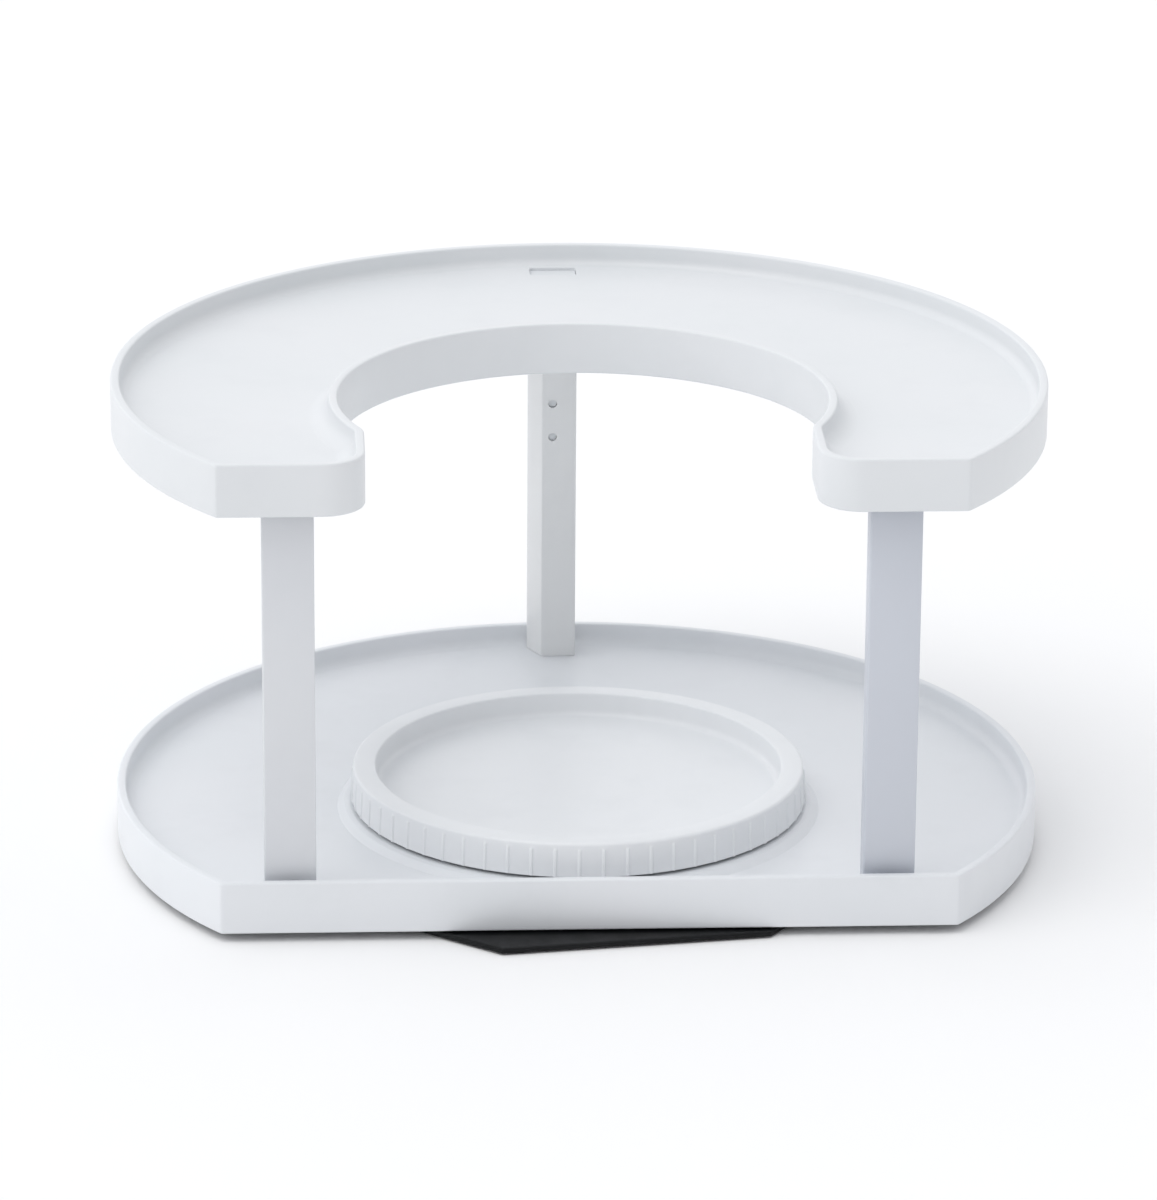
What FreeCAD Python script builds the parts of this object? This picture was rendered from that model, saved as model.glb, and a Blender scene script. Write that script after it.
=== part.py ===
import FreeCAD, Part
import math
import os

# Two-tier rotating kitchen organiser, in millimetres.
# +Z is up and z = 0 is the surface it stands on. The origin is on the rack's rotation axis.
# The front, where both tiers are cut straight, faces -Y.

V = FreeCAD.Vector

# ---- rack outline, shared by both tiers ----
tier_radius = 180.0          # round back and sides
front_cut = 114.0            # rotation axis to the straight front wall
corner_radius = 2.0          # the two crisp front corners
wall = 3.5                   # rim and skirt thickness
deck_thick = 2.5
cove = 3.5                   # fillet between deck and rim
edge_round = 0.8             # rounded edges along the rims
least_round = 0.3            # no fillet goes below this
sink = 0.5                   # joined shapes run this far into each other

# ---- heights ----
foot_proud = 0.8             # feet stand this far below the base plate
base_thick = 2.0
skirt_clear = 0.7            # lower skirt to base plate
rim_height = 8.5             # rim top above deck
tier_pitch = 164.9           # lower deck to upper deck

# ---- upper tier cut-out ----
cut_radius = 93.4
cut_y = -30.1                # centre of the round cut-out
mouth_half = 84.0            # half width of the straight front opening
neck_blend = 14.0            # rounds off that corner
lobe_radius = 16.5           # front corners of the two arms

# ---- dish ----
dish_radius = 88.5
dish_draft = 0.6             # the skirt leans in by this much at its top
dish_height = 13.7           # skirt bottom to rim top
dish_gap = 1.0               # skirt bottom above the collar
rim_band = 9.5               # flat top of the dish rim
dish_wall = 2.2
dish_depth = 9.3             # rim top down to the dish floor
dish_edge = 1.2              # bevelled outer edge of the rim
dish_inner_edge = 0.5
dish_floor_bevel = 2.5       # between the inner wall and the floor
grip_count = 60
grip_width = 1.1
grip_proud = 0.45
grip_stop = 2.2              # ribs end this far below the rim
grip_round = 0.3
grip_turn = -2.4             # degrees, where the first grip rib stands off the front
collar_height = 2.7          # raised collar under the dish skirt
collar_foot_out = 6.0        # its slope ends this far outside the dish
collar_crest_in = 0.5        # its crest starts this far inside the dish
collar_width = 4.0           # flat top of the crest
collar_wall = 2.2
collar_skin = 0.2            # thickness left under the slope, above the deck's own
collar_gap = 0.4             # foot of the slope to the front rim's fillet

# ---- bearings: balls in a flat cage between two grooved tracks ----
ball_radius = 2.4
track_clear = 0.1            # ball to groove
track_depth = 0.8            # groove depth
rack_ball_circle = 63.0
rack_ball_count = 24
dish_ball_circle = 61.0
dish_ball_count = 20
cage_thick = 1.8
cage_side = 4.2              # cage ring reaches this far each side of the ball circle
race_inner = 54.0
race_outer = 70.0
race_thick = 2.2
race_seat = 66.0             # outer edge of the moulded seats under the races
race_seat_height = 1.15      # seat on the base, and seat under the lower deck
hook_clear = 0.5             # gap between the rolled lip and the lower race
hook_wall = 1.5
hook_lip = 0.7
cage_clear = 0.1             # ball to its hole in the cage
lip_gap = 0.2                # height between the rolled lip and the lower race
lip_reach = 4.0              # the lip runs this far in under the lower race
lip_space = 1.0              # free room around the hook

# ---- dish pivot ----
hub_radius = 7.0
hub_clear = 0.08
hub_hole = 1.6               # pilot hole for the pivot screw
hub_floor = 1.0              # left above that hole
washer_radius = 11.0
washer_thick = 1.2
washer_clear = 0.1
pivot_play = 0.15

# ---- posts ----
post_width = 19.6
post_depth = 12.0
post_wall = 2.0
post_bevel = 5.5             # bevel across one long inner edge
post_bevel_depth = 11.0
post_round = 0.9
front_post_shift = 1.35      # beside the middle of the upper tier's arm
front_post_inset = 7.0       # front wall to the outer face of a front post
back_post_x = -2.7
back_post_inset = 20.0       # round wall to the inner face of the back post
block_height = 14.0          # solid foot of the post, which takes its screws
post_screw_in = 4.0          # screw axis to the bevelled side
post_screw_out = 3.0         # screw axis to the straight side
block_floor = 2.0            # left above the screw holes
ledge_thick = 2.2            # shelf under the key head
pocket_depth = 3.0
pocket_side = 0.3            # the pocket ends this far inside the post's sides
pocket_inner = 1.3           # and this far behind its inner face
pocket_round = 1.5
socket_wall = 2.0
socket_depth = 5.0
socket_clear = 0.1

# ---- keys that lock the upper tier on the posts ----
key_head = 2.0
key_head_clear = 0.15
key_edge = 0.3
key_width = 7.0
key_depth = 4.0
key_slot_clear = 0.3
button_radius = 1.6
button_clear = 0.15
button_drop = (54.8, 69.1)   # button centres below the upper deck
button_recess = 1.2          # button tip inside the face of the post
key_tail = 6.0               # stem past the lower button

# ---- base ----
base_radius = 134.5          # octagon corners
base_turn = -104.6           # degrees, direction of one corner
base_chamfer = 0.6
base_rib_height = 2.6
base_rib_wall = 2.0
base_rib_outer = 100.0
base_rib_count = 16
base_bore = 40.0             # opening in the middle of the base
foot_radius = 7.0
foot_circle = 114.0
foot_sunk = 0.8              # feet sit in pockets this deep
foot_clear = 0.05
grip_ring_in = 44.0          # rubber ring under the bearing
grip_ring_out = 52.0

# ---- stiffening ribs under the tiers ----
rib_thick = 1.8
rib_drop = 5.0
rib_count = 24
rib_ring = 104.0             # where the lower tier's ribs begin
shelf_rib_gap = 32.0         # the upper tier's ribs begin this far outside the cut-out's radius

# ---- screws ----
screw_radius = 1.45
screw_clear = 0.05
screw_head = 3.1
screw_head_height = 1.3
screw_pitch = 1.2
screw_tooth = 0.25
screw_point = 0.3
screw_slot = (3.2, 0.7, 0.8)                     # length, width and depth
head_clear = 0.3             # round a sunk screw head
head_sunk = 0.2              # sunk heads lie this far below the surface
tip_clear = 0.3              # from a screw tip to the far surface
race_screw_circle = 57.2
base_screw_turns = (45.0, 135.0, 225.0, 315.0)
rack_screw_turns = (65.0, 115.0, 245.0, 295.0)

# ---- levels worked out from the sizes above ----
base_top = foot_proud + base_thick
skirt_bottom = base_top + skirt_clear
race_gap = 2.0 * (ball_radius + track_clear - track_depth)
low_race_z = base_top + race_seat_height
high_race_z = low_race_z + race_thick + race_gap
rack_ball_z = low_race_z + race_thick + race_gap / 2.0
deck_under = high_race_z + race_thick + race_seat_height
deck_top = deck_under + deck_thick
rim_top = deck_top + rim_height
upper_shift = tier_pitch                     # lower tier to upper tier
upper_deck = deck_top + upper_shift
upper_under = deck_under + upper_shift
pocket_floor = upper_deck - pocket_depth
post_top = pocket_floor - ledge_thick
base_screw_z = foot_proud + head_sunk + screw_head_height
collar_top = deck_top + collar_height
collar_foot = dish_radius + collar_foot_out
collar_crest = dish_radius - collar_crest_in
collar_inner = collar_crest - collar_width
# the dish axis lies where the collar just clears the front rim
dish_y = -(front_cut - wall - cove - collar_gap - collar_foot)
dish_bottom = collar_top + dish_gap
dish_top = dish_bottom + dish_height
dish_floor = dish_top - dish_depth
dish_under = dish_floor - dish_wall
dish_track_height = (dish_under - deck_top - race_gap) / 2.0
dish_ball_z = (dish_under + deck_top) / 2.0
ball_groove_radius = ball_radius + track_clear
race_screw_z = deck_top - head_sunk - screw_head_height
front_corner_x = math.sqrt(tier_radius ** 2 - front_cut ** 2)
front_post_x = (mouth_half + front_corner_x) / 2.0 + front_post_shift
front_post_y = -front_cut + front_post_inset
back_post_y = tier_radius - back_post_inset
shelf_rib_ring = cut_radius + shelf_rib_gap


def turned(points, x=0.0, y=0.0):
    """Solid of revolution from (radius, height) points, on a vertical axis at x, y."""
    closed = [V(r, 0, z) for r, z in points] + [V(points[0][0], 0, points[0][1])]
    face = Part.Face(Part.makePolygon(closed))
    solid = face.revolve(V(0, 0, 0), V(0, 0, 1), 360)
    solid.translate(V(x, y, 0))
    return solid


def ring(r_in, r_out, z0, z1, x=0.0, y=0.0):
    return turned([(r_in, z0), (r_out, z0), (r_out, z1), (r_in, z1)], x, y)


def cylinder(radius, z0, z1, x=0.0, y=0.0):
    return Part.makeCylinder(radius, z1 - z0, V(x, y, z0))


def block(x0, x1, y0, y1, z0, z1):
    return Part.makeBox(x1 - x0, y1 - y0, z1 - z0, V(x0, y0, z0))


def groove(circle, z, x=0.0, y=0.0):
    """Round track that the balls run in."""
    track = Part.makeTorus(circle, ball_groove_radius)
    track.translate(V(x, y, z))
    return track


def around(shape, count, start=0.0, x=0.0, y=0.0):
    """Copies of a shape, evenly turned about a vertical axis."""
    copies = []
    for i in range(count):
        one = shape.copy()
        one.rotate(V(x, y, 0), V(0, 0, 1), start + i * 360.0 / count)
        copies.append(one)
    return copies


def fuse(shapes):
    whole = shapes[0]
    if len(shapes) > 1:
        whole = whole.multiFuse(shapes[1:])
    return whole.removeSplitter()


def polar(radius, degrees):
    angle = math.radians(degrees)
    return radius * math.cos(angle), radius * math.sin(angle)


def corner_arc(before, corner, after, radius):
    """Points of the fillet of one corner: start, middle and end."""
    a = (before - corner).normalize()
    b = (after - corner).normalize()
    half = a.getAngle(b) / 2.0
    reach = radius / math.tan(half)
    centre = corner + (a + b).normalize() * (radius / math.sin(half))
    middle = centre + (corner - centre).normalize() * radius
    return corner + a * reach, middle, corner + b * reach


def tier_wire(inset, z):
    """Round plan cut straight across the front, drawn inwards by inset."""
    radius = tier_radius - inset
    cut = front_cut - inset
    blend = max(corner_radius - inset, least_round)
    # centre of the corner fillet, tangent to the straight front and to the round wall
    cy = -cut + blend
    cx = math.sqrt((radius - blend) ** 2 - cy ** 2)
    turn = math.atan2(cy, cx)
    on_round = V(radius * math.cos(turn), radius * math.sin(turn), z)
    mid_turn = (turn - math.pi / 2.0) / 2.0
    mid = V(cx + blend * math.cos(mid_turn), cy + blend * math.sin(mid_turn), z)
    on_front = V(cx, -cut, z)

    def mirrored(p):
        return V(-p.x, p.y, z)

    back = V(0, radius, z)
    edges = [
        Part.makeLine(mirrored(on_front), on_front),
        Part.Arc(on_front, mid, on_round).toShape(),
        Part.Arc(on_round, back, mirrored(on_round)).toShape(),
        Part.Arc(mirrored(on_round), mirrored(mid), mirrored(on_front)).toShape(),
    ]
    return Part.Wire(edges)


def open_wire(inset, z):
    """C-shaped plan of the upper tier, drawn inwards by inset."""
    radius = tier_radius - inset
    cut = front_cut - inset
    blend = max(corner_radius - inset, least_round)
    hole = cut_radius + inset
    side = mouth_half + inset
    lobe = lobe_radius - inset
    neck = neck_blend - inset

    cy = -cut + blend
    cx = math.sqrt((radius - blend) ** 2 - cy ** 2)
    turn = math.atan2(cy, cx)
    on_round = V(radius * math.cos(turn), radius * math.sin(turn), z)
    mid_turn = (turn - math.pi / 2.0) / 2.0
    mid = V(cx + blend * math.cos(mid_turn), cy + blend * math.sin(mid_turn), z)
    on_front = V(cx, -cut, z)

    lobe_front = V(side + lobe, -cut, z)
    lobe_mid = V(side + lobe * (1 - math.sqrt(0.5)), -cut + lobe * (1 - math.sqrt(0.5)), z)
    lobe_side = V(side, -cut + lobe, z)
    # neck fillet, tangent to the straight side and inside the round cut-out
    nx = side + neck
    reach = hole + neck
    ny = cut_y - math.sqrt(reach ** 2 - nx ** 2)
    neck_side = V(side, ny, z)
    away = V(-nx, cut_y - ny, 0).normalize()
    neck_round = V(nx + away.x * neck, ny + away.y * neck, z)
    halfway = (away + V(-1, 0, 0)).normalize()
    neck_mid = V(nx + halfway.x * neck, ny + halfway.y * neck, z)
    hole_back = V(0, cut_y + hole, z)

    def mirrored(p):
        return V(-p.x, p.y, z)

    right = [
        Part.makeLine(lobe_front, on_front),
        Part.Arc(on_front, mid, on_round).toShape(),
    ]
    left = [
        Part.Arc(mirrored(on_round), mirrored(mid), mirrored(on_front)).toShape(),
        Part.makeLine(mirrored(on_front), mirrored(lobe_front)),
        Part.Arc(mirrored(lobe_front), mirrored(lobe_mid), mirrored(lobe_side)).toShape(),
        Part.makeLine(mirrored(lobe_side), mirrored(neck_side)),
        Part.Arc(mirrored(neck_side), mirrored(neck_mid), mirrored(neck_round)).toShape(),
        Part.Arc(mirrored(neck_round), hole_back, neck_round).toShape(),
        Part.Arc(neck_round, neck_mid, neck_side).toShape(),
        Part.makeLine(neck_side, lobe_side),
        Part.Arc(lobe_side, lobe_mid, lobe_front).toShape(),
    ]
    back = Part.Arc(on_round, V(0, radius, z), mirrored(on_round)).toShape()
    return Part.Wire(right + [back] + left)


def slab(outline, inset, z0, z1):
    return Part.Face(outline(inset, z0)).extrude(V(0, 0, z1 - z0))


def edges_at(shape, z, tall=0.01):
    """Edges that lie flat at one height."""
    found = []
    for edge in shape.Edges:
        box = edge.BoundBox
        if abs(box.ZMin - z) < tall and abs(box.ZMax - z) < tall:
            found.append(edge)
    return found


def tray_shell(outline, shift):
    """Deck with a rim above and a skirt below, the edges rounded."""
    low = skirt_bottom + shift
    high = rim_top + shift
    outer = slab(outline, 0.0, low, high)
    above = slab(outline, wall, deck_top + shift, high + sink)
    above = above.makeFillet(cove, edges_at(above, deck_top + shift))
    below = slab(outline, wall, low - sink, deck_under + shift)
    shell = outer.cut(above).cut(below)
    return shell.makeFillet(edge_round, edges_at(shell, high) + edges_at(shell, low))


def bevel_start(inset):
    """Where the bevelled side, drawn inwards by inset, meets the inner face."""
    lean = math.atan2(post_bevel, post_bevel_depth)
    return -post_width / 2.0 + post_bevel + inset / math.cos(lean) - inset * math.tan(lean)


def post_outline(inset, z):
    """Section of a post: u across, v outwards from its inner face, drawn inwards by inset."""
    half = post_width / 2.0
    lean = math.atan2(post_bevel, post_bevel_depth)
    u_inner = bevel_start(inset)
    v_side = post_bevel_depth + (inset / math.cos(lean) - inset) / math.tan(lean)
    points = [
        V(u_inner, inset, z),
        V(half - inset, inset, z),
        V(half - inset, post_depth - inset, z),
        V(-half + inset, post_depth - inset, z),
    ]
    if v_side < post_depth - inset - 0.05:
        points.append(V(-half + inset, v_side, z))
    else:
        v_back = post_depth - inset
        u_back = u_inner - (v_back - inset) * math.tan(lean)
        points[3] = V(u_back, v_back, z)
    return points


def rounded(points, radius):
    """Closed wire through the points with every corner rounded."""
    count = len(points)
    arcs = []
    for i in range(count):
        before = points[i - 1]
        after = points[(i + 1) % count]
        shortest = min((before - points[i]).Length, (after - points[i]).Length)
        arcs.append(corner_arc(before, points[i], after, min(radius, 0.3 * shortest)))
    edges = []
    for i in range(count):
        edges.append(Part.Arc(*arcs[i]).toShape())
        edges.append(Part.makeLine(arcs[i][2], arcs[(i + 1) % count][0]))
    return Part.Wire(edges)


def post_prism(inset, z0, z1):
    wire = rounded(post_outline(inset, z0), max(post_round - inset, least_round))
    return Part.Face(wire).extrude(V(0, 0, z1 - z0))


def to_post(shape, side):
    """Moves a shape from a post's own frame to its place on the rack."""
    placed = shape.copy()
    if side == "back":
        placed.translate(V(back_post_x, back_post_y, 0))
        return placed
    placed.rotate(V(0, 0, 0), V(0, 0, 1), 180)
    place_x = front_post_x if side == "right" else -front_post_x
    placed.translate(V(place_x, front_post_y + post_depth, 0))
    return placed


def screw(length, flip=False):
    """Pan-head screw standing on z = 0 with its head above, its thread drawn as rings."""
    core = screw_radius - screw_tooth
    z = -length + screw_pitch
    points = [(0.0, -length), (screw_point, -length), (core, z)]
    while z + screw_pitch < 0.0:
        points.append((screw_radius, z + screw_pitch / 2.0))
        points.append((core, z + screw_pitch))
        z += screw_pitch
    points += [(core, 0.0), (screw_head, 0.0), (screw_head, 0.45 * screw_head_height)]
    points += [(0.72 * screw_head, screw_head_height), (0.0, screw_head_height)]
    body = turned(points)
    reach, width, depth = screw_slot
    slot = block(-reach / 2, reach / 2, -width / 2, width / 2, screw_head_height - depth,
                 screw_head_height + sink)
    body = body.cut(fuse([slot] + around(slot, 1, 90)))
    if flip:
        body.rotate(V(0, 0, 0), V(1, 0, 0), 180)
    return body


def moved(shape, x, y, z):
    placed = shape.copy()
    placed.translate(V(x, y, z))
    return placed


def spheres(circle, count, z, x=0.0, y=0.0):
    one = Part.makeSphere(ball_radius, V(x + circle, y, z))
    return Part.makeCompound(around(one, count, 0.0, x, y))


def ball_cage(circle, count, z, x=0.0, y=0.0):
    low = z - cage_thick / 2.0
    high = z + cage_thick / 2.0
    plate = ring(circle - cage_side, circle + cage_side, low, high, x, y)
    hole = cylinder(ball_radius + cage_clear, low - sink, high + sink, x + circle, y)
    return plate.cut(fuse(around(hole, count, 0.0, x, y)))


# ---------------------------------------------------------------- base
def octagon(inset, z):
    corners = [V(*polar(base_radius - inset, base_turn + 45.0 * k), z) for k in range(8)]
    return Part.makePolygon(corners + [corners[0]])


def base_plate():
    plate = Part.Face(octagon(0.0, foot_proud)).extrude(V(0, 0, base_thick))
    plate = plate.makeChamfer(base_chamfer, edges_at(plate, base_top))
    rooted = base_top - sink
    rib_top = base_top + base_rib_height
    half = base_rib_wall / 2
    hook_out = race_outer + hook_clear + hook_wall
    seat = ring(race_inner, race_seat, rooted, low_race_z)
    rib = block(race_seat - sink, base_rib_outer, -half, half, rooted, rib_top)
    hoop = ring(base_rib_outer - base_rib_wall, base_rib_outer, rooted, rib_top)
    lip_room = ring(race_inner, hook_out + lip_space, base_top, high_race_z)
    inner = ring(base_bore, base_bore + base_rib_wall, rooted, rib_top)
    ribs = fuse(around(rib, base_rib_count, base_turn) + [hoop]).cut(lip_room)
    plate = fuse([plate, seat, ribs, inner])
    plate = plate.cut(cylinder(base_bore, 0, rib_top))
    plate = plate.cut(ring(grip_ring_in, grip_ring_out, 0, foot_proud + foot_sunk))
    for k in range(8):
        x, y = polar(foot_circle, base_turn + 45.0 * k)
        plate = plate.cut(cylinder(foot_radius, 0, foot_proud + foot_sunk, x, y))
    for turn in base_screw_turns:
        x, y = polar(race_screw_circle, turn)
        plate = plate.cut(cylinder(screw_radius + screw_clear, 0, high_race_z, x, y))
        plate = plate.cut(cylinder(screw_head + head_clear, 0, base_screw_z, x, y))
    return plate


def base_feet():
    foot = cylinder(foot_radius - foot_clear, 0, foot_proud + foot_sunk)
    foot = foot.makeFillet(foot_proud / 2.0, edges_at(foot, 0))
    return Part.makeCompound([moved(foot, *polar(foot_circle, base_turn + 45.0 * k), 0) for k in range(8)])


def base_grip_ring():
    return ring(grip_ring_in + foot_clear, grip_ring_out - foot_clear, 0, foot_proud + foot_sunk)


def base_race():
    race = ring(race_inner, race_outer, low_race_z, low_race_z + race_thick)
    race = race.cut(groove(rack_ball_circle, rack_ball_z))
    for turn in base_screw_turns:
        x, y = polar(race_screw_circle, turn)
        race = race.cut(cylinder(screw_radius + screw_clear, 0, high_race_z, x, y))
    return race


def base_race_screws():
    one = screw(low_race_z + race_thick - base_screw_z - tip_clear, flip=True)
    places = [polar(race_screw_circle, turn) for turn in base_screw_turns]
    return Part.makeCompound([moved(one, x, y, base_screw_z) for x, y in places])


# ---------------------------------------------------------------- rack bearing
def rack_race():
    wall_in = race_outer + hook_clear
    wall_out = wall_in + hook_wall
    lip_top = low_race_z - lip_gap
    race_top = high_race_z + race_thick
    race = ring(race_inner, wall_out, high_race_z, race_top)
    side = ring(wall_in, wall_out, lip_top - hook_lip, high_race_z + sink)
    lip = ring(wall_in - lip_reach, wall_out, lip_top - hook_lip, lip_top)
    race = fuse([race, side, lip])
    race = race.cut(groove(rack_ball_circle, rack_ball_z))
    for turn in rack_screw_turns:
        x, y = polar(race_screw_circle, turn)
        race = race.cut(cylinder(screw_radius + screw_clear, high_race_z, race_top, x, y))
    return race


def rack_race_screws():
    one = screw(race_screw_z - high_race_z - tip_clear)
    places = [polar(race_screw_circle, turn) for turn in rack_screw_turns]
    return Part.makeCompound([moved(one, x, y, race_screw_z) for x, y in places])


# ---------------------------------------------------------------- tiers
def under_ribs(outline, shift, inner):
    """Radial ribs and one hoop under a deck, kept inside the skirt."""
    top = deck_under + shift + sink
    low = deck_under + shift - rib_drop
    spoke = block(inner, tier_radius, -rib_thick / 2, rib_thick / 2, low, top)
    spokes = around(spoke, rib_count, 180.0 / rib_count)
    hoop_r = (inner + tier_radius) / 2.0
    hoop = ring(hoop_r - rib_thick / 2, hoop_r + rib_thick / 2, low, top)
    start = ring(inner - rib_thick / 2, inner + rib_thick / 2, low, top)
    inside = slab(outline, wall - sink, low, top)
    return fuse(spokes + [hoop, start]).common(inside)


def screw_places():
    """Axes of a post's two screws, between its bevelled and its straight side."""
    v = post_depth / 2.0
    bevelled_side = bevel_start(0.0) - v * post_bevel / post_bevel_depth
    return [(bevelled_side + post_screw_in, v), (post_width / 2.0 - post_screw_out, v)]


def lower_tray():
    race_top = high_race_z + race_thick
    tray = tray_shell(tier_wire, 0.0)
    collar = turned([
        (collar_inner, deck_top - sink), (collar_foot, deck_top - sink), (collar_foot, deck_top),
        (collar_crest, collar_top), (collar_inner, collar_top)], 0, dish_y)
    track = ring(dish_ball_circle - cage_side, dish_ball_circle + cage_side, deck_top - sink,
                 deck_top + dish_track_height, 0, dish_y)
    seat = ring(race_inner, race_seat, race_top, deck_under + sink)
    ribs = under_ribs(tier_wire, 0.0, rib_ring)
    tray = fuse([tray, collar, track, seat, ribs])
    # the collar is hollow from below
    hollow_foot = collar_foot - collar_wall
    hollow_top = deck_under + collar_height - collar_skin
    hollow = turned([
        (collar_inner + collar_wall, deck_under - sink), (hollow_foot, deck_under - sink),
        (hollow_foot, deck_under), (collar_crest, hollow_top),
        (collar_inner + collar_wall, hollow_top)], 0, dish_y)
    tray = tray.cut(hollow)
    tray = tray.cut(groove(dish_ball_circle, dish_ball_z, 0, dish_y))
    tray = tray.cut(cylinder(hub_radius + hub_clear, deck_under, deck_top, 0, dish_y))
    for turn in rack_screw_turns:
        x, y = polar(race_screw_circle, turn)
        tray = tray.cut(cylinder(screw_radius + screw_clear, race_top, race_screw_z, x, y))
        tray = tray.cut(cylinder(screw_head + head_clear, race_screw_z, dish_under, x, y))
    for side in ("left", "right", "back"):
        for u, v in screw_places():
            tray = tray.cut(to_post(cylinder(screw_radius + screw_clear, deck_under, deck_top, u, v), side))
            tray = tray.cut(to_post(cylinder(screw_head + head_clear, skirt_bottom, deck_under, u, v), side))
    return tray


def post(side):
    solid = post_prism(0.0, deck_top, post_top)
    hollow = post_prism(post_wall, deck_top + block_height, post_top)
    solid = solid.cut(hollow)
    for drop in button_drop:
        start = V(0, 0, upper_deck - drop)
        hole = Part.makeCylinder(button_radius + button_clear, post_depth / 2.0, start, V(0, 1, 0))
        solid = solid.cut(hole)
    for u, v in screw_places():
        hole_top = deck_top + block_height - block_floor
        solid = solid.cut(cylinder(screw_radius + screw_clear, deck_top, hole_top, u, v))
    return to_post(solid, side)


def post_screws():
    one = screw(deck_thick + block_height - block_floor - tip_clear, flip=True)
    screws = []
    for side in ("left", "right", "back"):
        screws += [to_post(moved(one, u, v, deck_under), side) for u, v in screw_places()]
    return Part.makeCompound(screws)


def key_centre():
    """Middle of the key's stem, halfway across the bore of the post."""
    bore_side = post_width / 2.0 - post_wall
    return (bevel_start(post_wall) + bore_side) / 2.0, post_wall + key_slot_clear + key_depth / 2.0


def key_pocket_outline(grow, z):
    half = post_width / 2.0 - pocket_side + grow
    low = pocket_inner - grow
    high = post_depth - pocket_side + grow
    return [V(-half, low, z), V(half, low, z), V(half, high, z), V(-half, high, z)]


def post_key(side):
    outline = rounded(key_pocket_outline(-key_head_clear, pocket_floor), pocket_round - key_head_clear)
    head = Part.Face(outline).extrude(V(0, 0, key_head))
    head = head.makeFillet(key_edge, edges_at(head, pocket_floor + key_head))
    u, v = key_centre()
    tail = upper_deck - button_drop[1] - key_tail
    stem = block(u - key_width / 2, u + key_width / 2, v - key_depth / 2, v + key_depth / 2, tail,
                 pocket_floor + key_head / 2)
    parts = [head, stem]
    for drop in button_drop:
        button = Part.makeCylinder(button_radius, v - button_recess, V(0, button_recess, upper_deck - drop),
                                   V(0, 1, 0))
        parts.append(button)
    return to_post(fuse(parts), side)


def upper_shelf():
    shelf = tray_shell(open_wire, upper_shift)
    ribs = under_ribs(open_wire, upper_shift, shelf_rib_ring)
    shelf = fuse([shelf, ribs])
    for side in ("left", "right", "back"):
        z0 = post_top - socket_depth
        rib_low = upper_under - rib_drop
        around_post = rounded(post_outline(-socket_wall - socket_clear, z0), post_round + socket_wall)
        socket = Part.Face(around_post).extrude(V(0, 0, upper_under + sink - z0))
        shelf = fuse([shelf, to_post(socket, side)])
        bore_low = min(z0, rib_low)
        hole = Part.Face(rounded(post_outline(-socket_clear, bore_low), post_round))
        shelf = shelf.cut(to_post(hole.extrude(V(0, 0, post_top - bore_low)), side))
        pocket = Part.Face(rounded(key_pocket_outline(0.0, pocket_floor), pocket_round))
        shelf = shelf.cut(to_post(pocket.extrude(V(0, 0, pocket_depth + rim_height)), side))
        u, v = key_centre()
        slot = block(u - key_width / 2 - key_slot_clear, u + key_width / 2 + key_slot_clear,
                     v - key_depth / 2 - key_slot_clear, v + key_depth / 2 + key_slot_clear,
                     post_top, pocket_floor)
        shelf = shelf.cut(to_post(slot, side))
    return shelf


# ---------------------------------------------------------------- dish
def dish():
    rim_in = dish_radius - rim_band
    top_r = dish_radius - dish_draft
    # double rim: ribbed skirt, flat band and inner wall, then the floor
    shell = turned([
        (0, dish_under), (rim_in + dish_wall, dish_under), (rim_in + dish_wall, dish_top - dish_wall),
        (top_r - dish_wall, dish_top - dish_wall), (dish_radius - dish_wall, dish_bottom),
        (dish_radius, dish_bottom), (top_r, dish_top - dish_edge), (top_r - dish_edge, dish_top),
        (rim_in + dish_inner_edge, dish_top), (rim_in, dish_top - dish_inner_edge),
        (rim_in, dish_floor + dish_floor_bevel), (rim_in - dish_floor_bevel, dish_floor), (0, dish_floor)])
    lean = math.degrees(math.atan2(dish_draft, dish_height))
    grip = block(dish_radius - 1.0, dish_radius + grip_proud, -grip_width / 2, grip_width / 2, dish_bottom,
                 dish_top - grip_stop)
    grip = grip.makeFillet(grip_round, [e for e in grip.Edges if e.BoundBox.XMin > dish_radius])
    grip.rotate(V(dish_radius, 0, dish_bottom), V(0, 1, 0), -lean)
    track = ring(dish_ball_circle - cage_side, dish_ball_circle + cage_side, dish_under - dish_track_height,
                 dish_under + sink)
    hub = cylinder(hub_radius, deck_under - pivot_play, dish_under + sink)
    body = fuse([shell, track, hub] + around(grip, grip_count, -90.0 + grip_turn))
    body = body.cut(groove(dish_ball_circle, dish_ball_z))
    body = body.cut(cylinder(hub_hole, deck_under - pivot_play, dish_under - hub_floor))
    body.translate(V(0, dish_y, 0))
    return body


def dish_washer():
    top = deck_under - pivot_play
    return ring(hub_hole + washer_clear, washer_radius, top - washer_thick, top, 0, dish_y)


def dish_screw():
    washer_low = deck_under - pivot_play - washer_thick
    length = dish_under - hub_floor - tip_clear - washer_low
    return moved(screw(length, flip=True), 0, dish_y, washer_low)


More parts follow.
